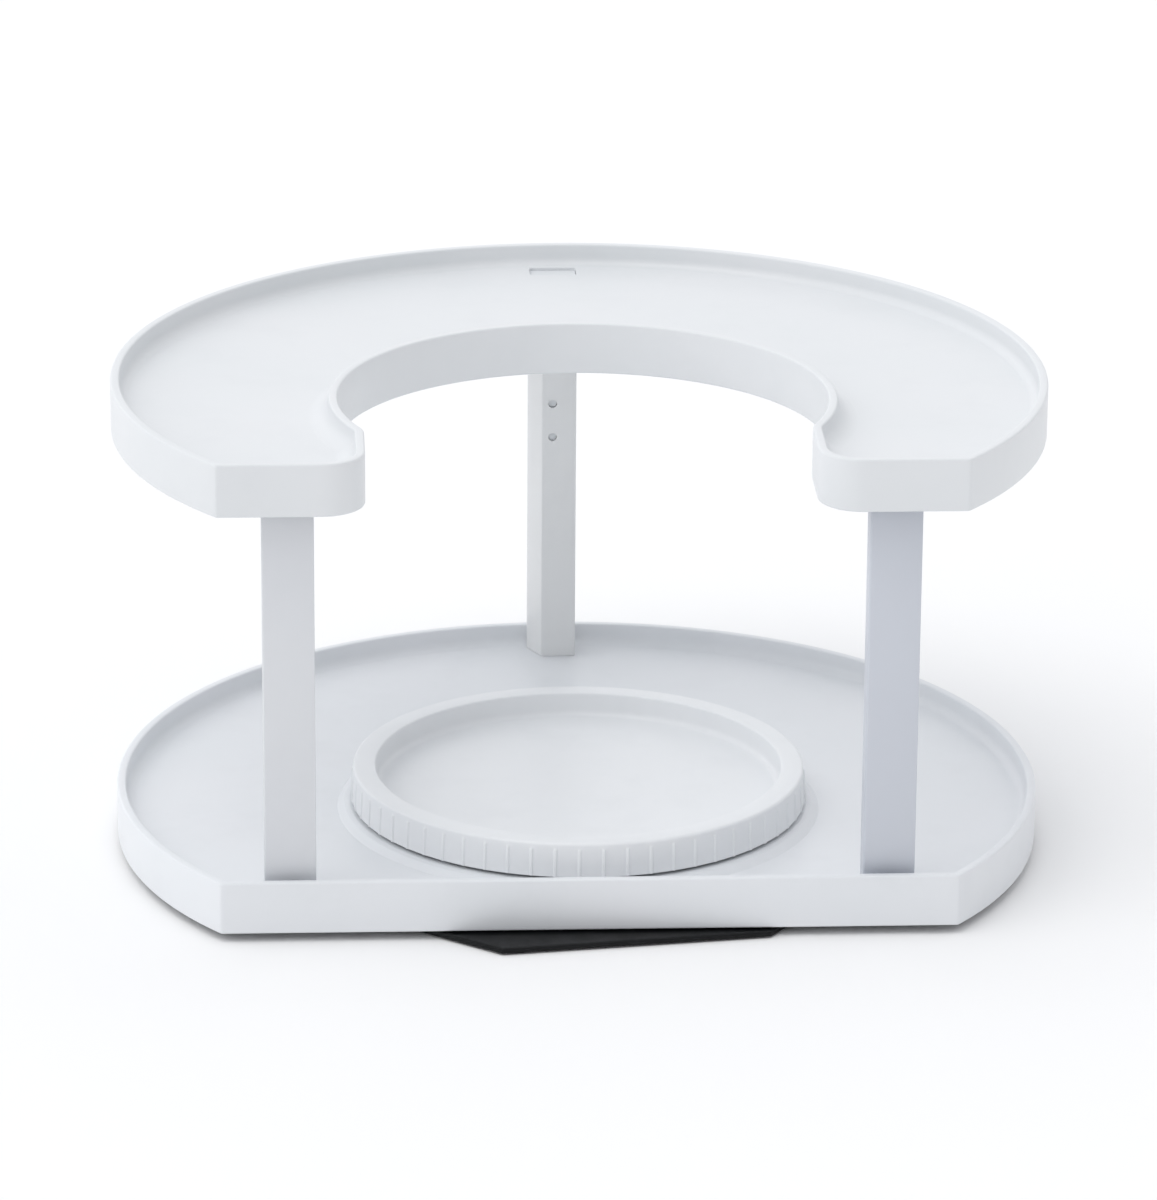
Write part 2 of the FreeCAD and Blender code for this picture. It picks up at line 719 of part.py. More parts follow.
nodes = {
    "base_plate": base_plate,
    "base_feet": base_feet,
    "base_grip_ring": base_grip_ring,
    "base_race": base_race,
    "base_race_screws": base_race_screws,
    "rack_ball_cage": lambda: ball_cage(rack_ball_circle, rack_ball_count, rack_ball_z),
    "rack_balls": lambda: spheres(rack_ball_circle, rack_ball_count, rack_ball_z),
    "rack_race": rack_race,
    "rack_race_screws": rack_race_screws,
    "lower_tray": lower_tray,
    "left_post": lambda: post("left"),
    "right_post": lambda: post("right"),
    "back_post": lambda: post("back"),
    "post_screws": post_screws,
    "left_post_key": lambda: post_key("left"),
    "right_post_key": lambda: post_key("right"),
    "back_post_key": lambda: post_key("back"),
    "upper_shelf": upper_shelf,
    "dish": dish,
    "dish_ball_cage": lambda: ball_cage(dish_ball_circle, dish_ball_count, dish_ball_z, 0, dish_y),
    "dish_balls": lambda: spheres(dish_ball_circle, dish_ball_count, dish_ball_z, 0, dish_y),
    "dish_washer": dish_washer,
    "dish_screw": dish_screw,
}

os.makedirs("parts", exist_ok=True)
for name, make in nodes.items():
    shape = make()
    shape.exportStep("parts/" + name + ".step")
    box = shape.BoundBox
    print(name, len(shape.Solids), shape.isValid(), round(shape.Volume), round(box.ZMin, 2),
          round(box.ZMax, 2))
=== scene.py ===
import math

import bmesh
import bpy
from mathutils import Matrix, Vector


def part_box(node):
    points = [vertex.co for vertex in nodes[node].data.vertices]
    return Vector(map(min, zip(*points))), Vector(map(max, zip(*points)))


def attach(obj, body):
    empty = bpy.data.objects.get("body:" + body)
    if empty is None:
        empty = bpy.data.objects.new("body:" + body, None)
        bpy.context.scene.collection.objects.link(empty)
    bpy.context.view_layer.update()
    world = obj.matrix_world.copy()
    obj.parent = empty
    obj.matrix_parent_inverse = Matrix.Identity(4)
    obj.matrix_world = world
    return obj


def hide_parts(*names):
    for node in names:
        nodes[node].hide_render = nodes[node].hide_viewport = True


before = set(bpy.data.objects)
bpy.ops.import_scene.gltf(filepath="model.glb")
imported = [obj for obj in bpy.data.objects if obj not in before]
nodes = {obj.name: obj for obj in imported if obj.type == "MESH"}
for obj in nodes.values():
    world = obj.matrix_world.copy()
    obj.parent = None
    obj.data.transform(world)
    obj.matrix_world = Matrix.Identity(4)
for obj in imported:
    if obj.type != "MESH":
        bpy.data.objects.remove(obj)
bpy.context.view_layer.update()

mm = 0.001


# small helpers
def cadBoxMm(node):
    low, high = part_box(node)
    return low / mm, high / mm


def linear(code):
    # sRGB hex to the linear colour that shaders want
    rgb = [int(code[i:i + 2], 16) / 255 for i in (1, 3, 5)]
    rgb = [c / 12.92 if c <= 0.04045 else ((c + 0.055) / 1.055) ** 2.4 for c in rgb]
    return (*rgb, 1.0)


def addNode(tree, kind, settings=None, inputs=None):
    # one node with its settings; an input is a value or a socket to link from
    node = tree.nodes.new(kind)
    for key, value in (settings or {}).items():
        setattr(node, key, value)
    for key, value in (inputs or {}).items():
        if isinstance(value, bpy.types.NodeSocket):
            tree.links.new(value, node.inputs[key])
        else:
            node.inputs[key].default_value = value
    return node


def polar(radius, degrees, z=0.0):
    angle = math.radians(degrees)
    return Vector((radius * math.cos(angle), radius * math.sin(angle), z))


def arcPoints(centre, radius, start, end, steps, lastToo=True):
    # points on an arc in plan, angles in degrees
    count = steps + 1 if lastToo else steps
    return [centre + polar(radius, start + (end - start) * i / steps) for i in range(count)]


def linePoints(start, end, steps):
    # the last point belongs to the next stretch of the outline
    return [start.lerp(end, i / steps) for i in range(steps)]


def softLoop(corners, radius, steps=6):
    # closed loop through plan corners, every corner rounded
    loop = []
    for i, corner in enumerate(corners):
        toBefore = (corners[i - 1] - corner)
        toAfter = (corners[(i + 1) % len(corners)] - corner)
        bend = min(radius, 0.3 * min(toBefore.length, toAfter.length))
        toBefore.normalize()
        toAfter.normalize()
        half = toBefore.angle(toAfter) / 2
        middle = corner + (toBefore + toAfter).normalized() * bend / math.sin(half)
        first = corner + toBefore * bend / math.tan(half) - middle
        last = corner + toAfter * bend / math.tan(half) - middle
        sweep = first.angle(last)
        if first.cross(last).z < 0:
            sweep = -sweep
        for k in range(steps + 1):
            loop.append(middle + Matrix.Rotation(sweep * k / steps, 3, "Z") @ first)
    return loop


def softPath(points, steps=5):
    # open section line of (r, z, rounding) with its corners rounded
    path = []
    flat = [Vector((r, z)) for r, z, bend in points]
    for i, corner in enumerate(flat):
        bend = points[i][2]
        if bend == 0 or i in (0, len(flat) - 1):
            path.append(corner)
            continue
        toBefore = (flat[i - 1] - corner).normalized()
        toAfter = (flat[i + 1] - corner).normalized()
        half = toBefore.angle(toAfter) / 2
        middle = corner + (toBefore + toAfter).normalized() * bend / math.sin(half)
        first = corner + toBefore * bend / math.tan(half) - middle
        last = corner + toAfter * bend / math.tan(half) - middle
        turn = first.angle_signed(last)
        for k in range(steps + 1):
            spin = Matrix.Rotation(-turn * k / steps, 2)
            path.append(middle + spin @ first)
    return path


def addRow(bm, points):
    return [bm.verts.new(Vector(p) * mm) for p in points]


def skin(bm, rows, closed=True):
    for low, high in zip(rows, rows[1:]):
        count = len(low) if closed else len(low) - 1
        for i in range(count):
            k = (i + 1) % len(low)
            bm.faces.new((low[i], low[k], high[k], high[i]))


def fillFlat(bm, *loops):
    # flat face inside the first loop, with the other loops as its holes
    edges = []
    for loop in loops:
        for i, vert in enumerate(loop):
            after = loop[(i + 1) % len(loop)]
            edges.append(bm.edges.get((vert, after)) or bm.edges.new((vert, after)))
    bmesh.ops.triangle_fill(bm, use_beauty=True, edges=edges)


def atHeight(points, z):
    return [Vector((p.x, p.y, z)) for p in points]


def addPrism(bm, loop, z0, z1, bevel=0.0, inner=None):
    # closed upright prism; bevel softens both ends, inner is a loop drawn in by the bevel
    rows = [addRow(bm, atHeight(loop, z0 + bevel)), addRow(bm, atHeight(loop, z1 - bevel))]
    if bevel:
        rows.insert(0, addRow(bm, atHeight(inner, z0)))
        rows.append(addRow(bm, atHeight(inner, z1)))
    skin(bm, rows)
    fillFlat(bm, rows[0])
    fillFlat(bm, rows[-1])


def addBox(bm, low, high, turn=None):
    corners = [(low[0], low[1]), (high[0], low[1]), (high[0], high[1]), (low[0], high[1])]
    loop = [Vector((x, y, 0)) for x, y in corners]
    if turn is not None:
        loop = [Matrix.Rotation(math.radians(turn), 3, "Z") @ p for p in loop]
    rows = [addRow(bm, atHeight(loop, low[2])), addRow(bm, atHeight(loop, high[2]))]
    skin(bm, rows)
    bm.faces.new(rows[0])
    bm.faces.new(rows[1])


def addTurned(bm, section, centre, steps):
    # ring-shaped solid from a closed section of (r, z) points
    columns = []
    for i in range(steps):
        spin = 360 * i / steps
        columns.append(addRow(bm, [centre + polar(r, spin, z) for r, z in section]))
    skin(bm, columns + columns[:1])


def addCylinder(bm, start, end, radius, steps=32):
    along = (end - start).normalized()
    side = along.orthogonal().normalized()
    other = along.cross(side)
    ends = []
    for centre in (start, end):
        angles = [2 * math.pi * i / steps for i in range(steps)]
        ends.append(addRow(bm, [centre + radius * (side * math.cos(a) + other * math.sin(a)) for a in angles]))
    skin(bm, ends)
    bm.faces.new(ends[0])
    bm.faces.new(ends[1])


def newPiece(name, bm, material, sharp=28):
    # merges doubles, turns faces outwards, smooths what bends less than sharp degrees
    bmesh.ops.remove_doubles(bm, verts=bm.verts, dist=0.002 * mm)
    bmesh.ops.recalc_face_normals(bm, faces=bm.faces)
    mesh = bpy.data.meshes.new(name)
    bm.to_mesh(mesh)
    bm.free()
    finishMesh(mesh, material, sharp)
    piece = bpy.data.objects.new(name, mesh)
    bpy.context.scene.collection.objects.link(piece)
    return piece


def finishMesh(mesh, material, sharp=28):
    mesh.materials.clear()
    mesh.materials.append(material)
    for face in mesh.polygons:
        face.use_smooth = True
        face.material_index = 0
    mesh.set_sharp_from_angle(angle=math.radians(sharp))


def bakeModifiers(piece, material, sharp=28):
    # the evaluated shape becomes a plain mesh
    graph = bpy.context.evaluated_depsgraph_get()
    mesh = bpy.data.meshes.new_from_object(piece.evaluated_get(graph))
    piece.modifiers.clear()
    piece.data = mesh
    finishMesh(mesh, material, sharp)


def carve(piece, cutters, material, sharp=28):
    # exact booleans: each cutter is (how, bmesh)
    helpers = []
    for how, bm in cutters:
        bmesh.ops.recalc_face_normals(bm, faces=bm.faces)
        mesh = bpy.data.meshes.new("cutter")
        bm.to_mesh(mesh)
        bm.free()
        helper = bpy.data.objects.new("cutter", mesh)
        bpy.context.scene.collection.objects.link(helper)
        step = piece.modifiers.new("carve", "BOOLEAN")
        step.operation = how
        step.solver = "EXACT"
        step.object = helper
        helpers.append(helper)
    bakeModifiers(piece, material, sharp)
    for helper in helpers:
        bpy.data.objects.remove(helper)


# materials
def newMaterial(name):
    material = bpy.data.materials.new(name)
    material.use_nodes = True
    tree = material.node_tree
    tree.nodes.clear()
    place = addNode(tree, "ShaderNodeTexCoord")
    shader = addNode(tree, "ShaderNodeBsdfPrincipled")
    addNode(tree, "ShaderNodeOutputMaterial", inputs={"Surface": shader.outputs[0]})
    return material, tree, place.outputs["Object"], shader


def mouldedAbs(name, look):
    # injection-moulded ABS: even colour, satin skin from a lightly blasted mould,
    # long soft waves where the wall shrank over ribs, and a little handling haze
    material, tree, where, shader = newMaterial(name)
    tone = addNode(tree, "ShaderNodeTexNoise", inputs={
        "Vector": where, "Scale": 1 / (look["toneMm"] * mm), "Detail": 3.0, "Roughness": 0.5})
    colour = addNode(tree, "ShaderNodeValToRGB", inputs={"Fac": tone.outputs["Fac"]})
    colour.color_ramp.elements[0].position = 0.3
    colour.color_ramp.elements[0].color = linear(look["shade"])
    colour.color_ramp.elements[1].position = 0.7
    colour.color_ramp.elements[1].color = linear(look["base"])
    # dust and rub marks: sparse, barely darker than the plastic
    marks = addNode(tree, "ShaderNodeTexNoise", inputs={
        "Vector": where, "Scale": 1 / (look["markMm"] * mm), "Detail": 6.0, "Roughness": 0.62})
    sparse = addNode(tree, "ShaderNodeMapRange", inputs={
        "Value": marks.outputs["Fac"], "From Min": 0.50, "From Max": 0.95, "To Max": look["marks"]})
    mixed = addNode(tree, "ShaderNodeMix", {"data_type": "RGBA"}, {
        "Factor": sparse.outputs[0], 6: colour.outputs["Color"], 7: linear(look["mark"])})
    tree.links.new(mixed.outputs[2], shader.inputs["Base Color"])
    # gloss changes a little with the mould's polish
    polish = addNode(tree, "ShaderNodeTexNoise", inputs={
        "Vector": where, "Scale": 1 / (look["polishMm"] * mm), "Detail": 4.0, "Roughness": 0.6})
    gloss = addNode(tree, "ShaderNodeMapRange", inputs={
        "Value": polish.outputs["Fac"], "From Min": 0.3, "From Max": 0.7,
        "To Min": look["rough"] - look["roughSpread"], "To Max": look["rough"] + look["roughSpread"]})
    tree.links.new(gloss.outputs[0], shader.inputs["Roughness"])
    # blasted grain, drawn coarser than the real 0.1 mm so that it shows
    grain = addNode(tree, "ShaderNodeTexNoise", inputs={
        "Vector": where, "Scale": 1 / (look["grainMm"] * mm), "Detail": 2.0})
    fine = addNode(tree, "ShaderNodeBump", inputs={
        "Strength": look["grain"], "Distance": 0.05 * mm, "Height": grain.outputs["Fac"]})
    wave = addNode(tree, "ShaderNodeTexNoise", inputs={
        "Vector": where, "Scale": 1 / (look["waveMm"] * mm), "Detail": 1.0})
    sink = addNode(tree, "ShaderNodeBump", inputs={
        "Strength": look["wave"], "Distance": 1.0 * mm, "Height": wave.outputs["Fac"],
        "Normal": fine.outputs[0]})
    tree.links.new(sink.outputs[0], shader.inputs["Normal"])
    shader.inputs["IOR"].default_value = 1.53
    shader.inputs["Specular IOR Level"].default_value = look["sheen"]
    return material


whiteLook = dict(base="#e5e7e9", shade="#e2e5e7", mark="#d2d5d8", marks=0.25, toneMm=60, markMm=26, polishMm=30,
                 rough=0.36, roughSpread=0.06, grainMm=0.5, grain=0.10, waveMm=38, wave=0.10, sheen=0.5)
whiteAbs = mouldedAbs("whiteAbs", whiteLook)
# the lower tray is a lighter, slightly bluer copy of the white plastic: the extra lightness is painted light against
# the upper shelf's shade, and the blue tint is painted shade
lowerTrayPaintedLightAbs = mouldedAbs("lowerTrayPaintedLightAbs", dict(whiteLook, base="#e9ebee", shade="#e6e9ec"))
# the dish comes from a finer mould: glossier, with a tighter grain; its lighter colour is painted light that lifts it
# out of the upper shelf's shade
whiteDishPaintedLightAbs = mouldedAbs("whiteDishPaintedLightAbs", dict(
    whiteLook, base="#eceef0", shade="#eaecee", rough=0.34, roughSpread=0.05, grainMm=0.4, waveMm=30))
# the posts run a touch cooler and show drag lines from the core being pulled; the right post's darker, bluer colour is
# painted shade and the back post's lighter colour is painted light
postLook = dict(whiteLook, waveMm=22, wave=0.14)
postAbs = {
    "left": mouldedAbs("leftPostAbs", dict(postLook, base="#dddfe2", shade="#dadce0")),
    # darker and bluer than the left post: painted shade
    "right": mouldedAbs("rightPostPaintedShadeAbs", dict(postLook, base="#cdd1d9", shade="#caced6")),
    # lighter than the left post: painted light
    "back": mouldedAbs("backPostPaintedLightAbs", dict(postLook, base="#ebecec", shade="#e9eaea")),
}
whiteClipAbs = mouldedAbs("whiteClipAbs", dict(whiteLook, base="#dfe2e6", rough=0.42, markMm=5))
blackAbs = mouldedAbs("blackAbs", dict(
    base="#0b0d0f", shade="#08090b", mark="#46494c", marks=0.10, toneMm=40, markMm=6, polishMm=10,
    rough=0.42, roughSpread=0.07, grainMm=0.6, grain=0.22, waveMm=45, wave=0.12, sheen=0.2))


def softRubber():
    # pressed nitrile rubber: nearly black, no gloss, a bloom of pale dust
    material, tree, where, shader = newMaterial("softRubber")
    bloom = addNode(tree, "ShaderNodeTexNoise", inputs={"Vector": where, "Scale": 1 / (3 * mm), "Detail": 5.0})
    colour = addNode(tree, "ShaderNodeValToRGB", inputs={"Fac": bloom.outputs["Fac"]})
    colour.color_ramp.elements[0].position = 0.35
    colour.color_ramp.elements[0].color = linear("#232425")
    colour.color_ramp.elements[1].position = 0.75
    colour.color_ramp.elements[1].color = linear("#3a3b3b")
    tree.links.new(colour.outputs[0], shader.inputs["Base Color"])
    pores = addNode(tree, "ShaderNodeTexNoise", inputs={"Vector": where, "Scale": 1 / (0.4 * mm), "Detail": 3.0})
    bump = addNode(tree, "ShaderNodeBump", inputs={
        "Strength": 0.3, "Distance": 0.1 * mm, "Height": pores.outputs["Fac"]})
    tree.links.new(bump.outputs[0], shader.inputs["Normal"])
    shader.inputs["Roughness"].default_value = 0.82
    shader.inputs["IOR"].default_value = 1.52
    return material


def zincSteel(name, grainMm, tint):
    # pressed steel, bright zinc plated: blue-grey metal with a cloudy spangle and rolling lines
    material, tree, where, shader = newMaterial(name)
    spangle = addNode(tree, "ShaderNodeTexVoronoi", inputs={"Vector": where, "Scale": 1 / (grainMm * mm)})
    colour = addNode(tree, "ShaderNodeValToRGB", inputs={"Fac": spangle.outputs["Distance"]})
    colour.color_ramp.elements[0].color = linear(tint)
    colour.color_ramp.elements[1].color = linear("#a9acb0")
    tree.links.new(colour.outputs[0], shader.inputs["Base Color"])
    rolled = addNode(tree, "ShaderNodeMapping", inputs={"Vector": where, "Scale": (1.0, 14.0, 14.0)})
    lines = addNode(tree, "ShaderNodeTexNoise", inputs={
        "Vector": rolled.outputs[0], "Scale": 1 / (6 * mm), "Detail": 4.0})
    gloss = addNode(tree, "ShaderNodeMapRange", inputs={
        "Value": lines.outputs["Fac"], "From Min": 0.3, "From Max": 0.7, "To Min": 0.30, "To Max": 0.44})
    tree.links.new(gloss.outputs[0], shader.inputs["Roughness"])
    bump = addNode(tree, "ShaderNodeBump", inputs={
        "Strength": 0.15, "Distance": 0.05 * mm, "Height": lines.outputs["Fac"]})
    tree.links.new(bump.outputs[0], shader.inputs["Normal"])
    shader.inputs["Metallic"].default_value = 1.0
    return material


def bearingSteel():
    # hardened and lapped chrome steel: mirror-like, with a film of grease in places
    material, tree, where, shader = newMaterial("bearingSteel")
    grease = addNode(tree, "ShaderNodeTexNoise", inputs={"Vector": where, "Scale": 1 / (2 * mm), "Detail": 3.0})
    gloss = addNode(tree, "ShaderNodeMapRange", inputs={
        "Value": grease.outputs["Fac"], "From Min": 0.4, "From Max": 0.7, "To Min": 0.06, "To Max": 0.22})
    colour = addNode(tree, "ShaderNodeValToRGB", inputs={"Fac": grease.outputs["Fac"]})
    colour.color_ramp.elements[0].color = linear("#d4d6d9")
    colour.color_ramp.elements[1].color = linear("#bdbfc1")
    tree.links.new(colour.outputs[0], shader.inputs["Base Color"])
    tree.links.new(gloss.outputs[0], shader.inputs["Roughness"])
    shader.inputs["Metallic"].default_value = 1.0
    return material


def naturalNylon():
    # undyed moulded nylon: warm milky white, waxy
    material, tree, where, shader = newMaterial("naturalNylon")
    cloud = addNode(tree, "ShaderNodeTexNoise", inputs={"Vector": where, "Scale": 1 / (8 * mm), "Detail": 4.0})
    colour = addNode(tree, "ShaderNodeValToRGB", inputs={"Fac": cloud.outputs["Fac"]})
    colour.color_ramp.elements[0].color = linear("#d9d5c6")
    colour.color_ramp.elements[1].color = linear("#e6e3d7")
    tree.links.new(colour.outputs[0], shader.inputs["Base Color"])
    bump = addNode(tree, "ShaderNodeBump", inputs={
        "Strength": 0.12, "Distance": 0.1 * mm, "Height": cloud.outputs["Fac"]})
    tree.links.new(bump.outputs[0], shader.inputs["Normal"])
    shader.inputs["Roughness"].default_value = 0.45
    shader.inputs["Subsurface Weight"].default_value = 0.15
    shader.inputs["Subsurface Scale"].default_value = 1 * mm
    return material


rubber = softRubber()
zincRace = zincSteel("zincRace", 3.0, "#8e9297")
zincScrew = zincSteel("zincScrew", 0.8, "#96968f")
ballSteel = bearingSteel()
nylon = naturalNylon()
print("materials ready")


# geometry nodes: copies of one item round an axis
def ringTree():
    tree = bpy.data.node_groups.new("copiesRoundAxis", "GeometryNodeTree")
    face = tree.interface
    face.new_socket("Geometry", in_out="INPUT", socket_type="NodeSocketGeometry")
    inputs = {}
    for name, kind in (("Count", "Int"), ("Radius", "Float"), ("First Angle", "Float"), ("Centre", "Vector"),
                       ("Merge Distance", "Float"), ("Material", "Material")):
        inputs[name] = face.new_socket(name, in_out="INPUT", socket_type="NodeSocket" + kind).identifier
    face.new_socket("Geometry", in_out="OUTPUT", socket_type="NodeSocketGeometry")
    start = addNode(tree, "NodeGroupInput")
    # one point for each copy, all at the origin: the turn and the reach place them
    points = addNode(tree, "GeometryNodePoints", inputs={"Count": start.outputs["Count"]})
    index = addNode(tree, "GeometryNodeInputIndex")
    share = addNode(tree, "ShaderNodeMath", {"operation": "DIVIDE"}, {
        0: index.outputs[0], 1: start.outputs["Count"]})
    turn = addNode(tree, "ShaderNodeMath", {"operation": "MULTIPLY_ADD"}, {
        0: share.outputs[0], 1: 2 * math.pi, 2: start.outputs["First Angle"]})
    spin = addNode(tree, "ShaderNodeCombineXYZ", inputs={"Z": turn.outputs[0]})
    reach = addNode(tree, "ShaderNodeCombineXYZ", inputs={"X": start.outputs["Radius"]})
    outward = addNode(tree, "ShaderNodeVectorRotate", {"rotation_type": "Z_AXIS"}, {
        "Vector": reach.outputs[0], "Angle": turn.outputs[0]})
    place = addNode(tree, "ShaderNodeVectorMath", {"operation": "ADD"}, {
        0: outward.outputs[0], 1: start.outputs["Centre"]})
    placed = addNode(tree, "GeometryNodeSetPosition", inputs={
        "Geometry": points.outputs[0], "Position": place.outputs[0]})
    copies = addNode(tree, "GeometryNodeInstanceOnPoints", inputs={
        "Points": placed.outputs[0], "Instance": start.outputs["Geometry"], "Rotation": spin.outputs[0]})
    real = addNode(tree, "GeometryNodeRealizeInstances", inputs={"Geometry": copies.outputs[0]})
    merged = addNode(tree, "GeometryNodeMergeByDistance", inputs={
        "Geometry": real.outputs[0], "Distance": start.outputs["Merge Distance"]})
    painted = addNode(tree, "GeometryNodeSetMaterial", inputs={
        "Geometry": merged.outputs[0], "Material": start.outputs["Material"]})
    addNode(tree, "NodeGroupOutput", inputs={"Geometry": painted.outputs[0]})
    return tree, inputs


copiesRoundAxis, ringInputs = ringTree()


def repeatRound(piece, material, count, radius=0.0, first=0.0, centre=(0, 0, 0), merge=0.0, sharp=28):
    # sizes in mm and degrees
    ring = piece.modifiers.new("copiesRoundAxis", "NODES")
    ring.node_group = copiesRoundAxis
    ring[ringInputs["Count"]] = count
    ring[ringInputs["Radius"]] = radius * mm
    ring[ringInputs["First Angle"]] = math.radians(first)
    ring[ringInputs["Centre"]] = [c * mm for c in centre]
    ring[ringInputs["Merge Distance"]] = merge * mm
    ring[ringInputs["Material"]] = material
    bakeModifiers(piece, material, sharp)
    return piece


def joinPieces(name, items, material, sharp=28):
    bm = bmesh.new()
    for item in items:
        bm.from_mesh(item.data)
        bpy.data.objects.remove(item)
    mesh = bpy.data.meshes.new(name)
    bm.to_mesh(mesh)
    bm.free()
    finishMesh(mesh, material, sharp)
    piece = bpy.data.objects.new(name, mesh)
    bpy.context.scene.collection.objects.link(piece)
    return piece


# plan outlines of the tiers
tier = dict(radius=180.0, frontCut=114.0, corner=2.0, wall=3.5, deck=2.5, rim=8.5, edge=0.8,
            cove=3.6, mouthCove=7.4, underFillet=1.0,
            cutRadius=93.4, cutY=-30.1, mouthHalf=84.0, neck=14.0, lobe=16.5)
sample = dict(front=12, corner=8, arm=6, lobe=14, side=4, neck=10, mouth=110, back=240)


def roundStart(inset):
    # where the corner rounding meets the round wall, as (corner centre, bend, angle)
    bend = max(tier["corner"] - inset, 0.3)
    cy = -(tier["frontCut"] - inset) + bend
    cx = math.sqrt((tier["radius"] - inset - bend) ** 2 - cy ** 2)
    return Vector((cx, cy, 0)), bend, math.degrees(math.atan2(cy, cx))


def mirrored(points):
    return [Vector((-p.x, p.y, p.z)) for p in reversed(points)]


def trayOutline(inset):
    # D shape, anticlockwise from the left end of the straight front
    centre, bend, turn = roundStart(inset)
    front = centre + Vector((0, -bend, 0))
    corner = arcPoints(centre, bend, -90, turn, sample["corner"])
    back = arcPoints(Vector((0, 0, 0)), tier["radius"] - inset, turn, 180 - turn, sample["back"])
    straight = linePoints(Vector((-front.x, front.y, 0)), front, sample["front"])
    return straight + corner + back[1:-1] + mirrored(corner)[:-1], None


def shelfOutline(inset):
    # C shape; the share says how far each point belongs to the cut-out instead of the outer wall
    centre, bend, turn = roundStart(inset)
    cutY = Vector((0, tier["cutY"], 0))
    hole = tier["cutRadius"] + inset
    side = tier["mouthHalf"] + inset
    lobe = tier["lobe"] - inset
    neck = tier["neck"] - inset
    lobeCentre = Vector((side + lobe, -tier["frontCut"] + inset + lobe, 0))
    neckX = side + neck
    neckCentre = Vector((neckX, tier["cutY"] - math.sqrt((hole + neck) ** 2 - neckX ** 2), 0))
    neckTurn = math.degrees(math.atan2(cutY.y - neckCentre.y, -neckX))
    arm = linePoints(lobeCentre + Vector((0, -lobe, 0)), centre + Vector((0, -bend, 0)), sample["arm"])
    corner = arcPoints(centre, bend, -90, turn, sample["corner"])
    back = arcPoints(Vector((0, 0, 0)), tier["radius"] - inset, turn, 180 - turn, sample["back"])
    # right-hand half of the cut-out, walked from its back towards the front
    holeTurn = math.degrees(math.atan2(neckCentre.y - cutY.y, neckX))
    mouth = arcPoints(cutY, hole, 90, holeTurn, sample["mouth"] // 2)
    neckArc = arcPoints(neckCentre, neck, neckTurn, 180, sample["neck"])
    straight = linePoints(neckCentre + Vector((-neck, 0, 0)), lobeCentre + Vector((-lobe, 0, 0)), sample["side"])
    lobeArc = arcPoints(lobeCentre, lobe, 180, 270, sample["lobe"])
    inside = mouth[:-1] + neckArc[:-1] + straight + lobeArc[:-1]
    outside = arm + corner + back[1:-1]
    points = outside + mirrored(arm + corner) + mirrored(inside)[:-1] + inside
    share = [0.0] * (len(outside) + len(arm + corner))
    near = [1.0] * (len(inside) - len(lobeArc) + 1)
    near += [1 - i / (len(lobeArc) - 1) for i in range(len(lobeArc) - 1)]
    return points, share + near[::-1][:-1] + near


def tierRow(outline, inset, z, mouthInset=None, mouthZ=None):
    outer, share = outline(inset)
    if share is None or mouthInset is None:
        return atHeight(outer, z)
    mouth, share = outline(mouthInset)
    return [Vector((*p.lerp(q, s).xy, z + (mouthZ - z) * s)) for p, q, s in zip(outer, mouth, share)]


def addTierShell(bm, outline, low, high):
    # closed wall of a tier from the deck's edge over the rim and down the skirt; returns the deck rows
    wall, edge, cove, mouthCove = (tier[k] for k in ("wall", "edge", "cove", "mouthCove"))
    deckTop = high - tier["rim"]
    deckUnder = deckTop - tier["deck"]
    steps = 7
    rows = [tierRow(outline, wall + cove + 0.5, deckTop, wall + mouthCove + 0.5, deckTop)]
    for i in range(steps + 1):
        a = math.pi / 2 * i / steps
        rows.append(tierRow(
            outline, wall + cove * (1 - math.sin(a)), deckTop + cove * (1 - math.cos(a)),
            wall + mouthCove * (1 - math.sin(a)), deckTop + mouthCove * (1 - math.cos(a))))
    rounds = [(wall - edge, high - edge, 1, 0), (edge, high - edge, 0, -1),
              (edge, low + edge, -1, 0), (wall - edge, low + edge, 0, 1)]
    for inset, z, u, v in rounds:
        # quarter rounds of the rim and skirt edges, one after the other
        for i in range(5):
            a = math.pi / 2 * i / 4
            across = u * math.cos(a) + v * math.sin(a)
            up = abs(u) * u * math.sin(a) - v * math.cos(a)
            rows.append(tierRow(outline, inset + edge * across, z + edge * up))
    fillet = tier["underFillet"]
    for i in range(4):
        a = math.pi / 2 * i / 3
        rows.append(tierRow(outline, wall + fillet * (1 - math.cos(a)), deckUnder - fillet * (1 - math.sin(a))))
    rows.append(tierRow(outline, wall + fillet + 0.5, deckUnder))
    made = [addRow(bm, row) for row in rows]
    skin(bm, made)
    return made[0], made[-1]


def spokeReach(degrees):
    # how far a rib under a deck may run before it meets the skirt
    front = tier["frontCut"] - tier["wall"] + 0.6
    down = -math.sin(math.radians(degrees))
    reach = tier["radius"] - tier["wall"] + 0.6
    return min(reach, front / down) if down > 0.01 else reach


ribs = dict(thick=1.8, drop=5.0, count=24, ring=104.0, shelfRing=125.4)


def inMouth(point):
    return abs(point.x) < tier["mouthHalf"] + tier["wall"] and point.y < tier["cutY"]


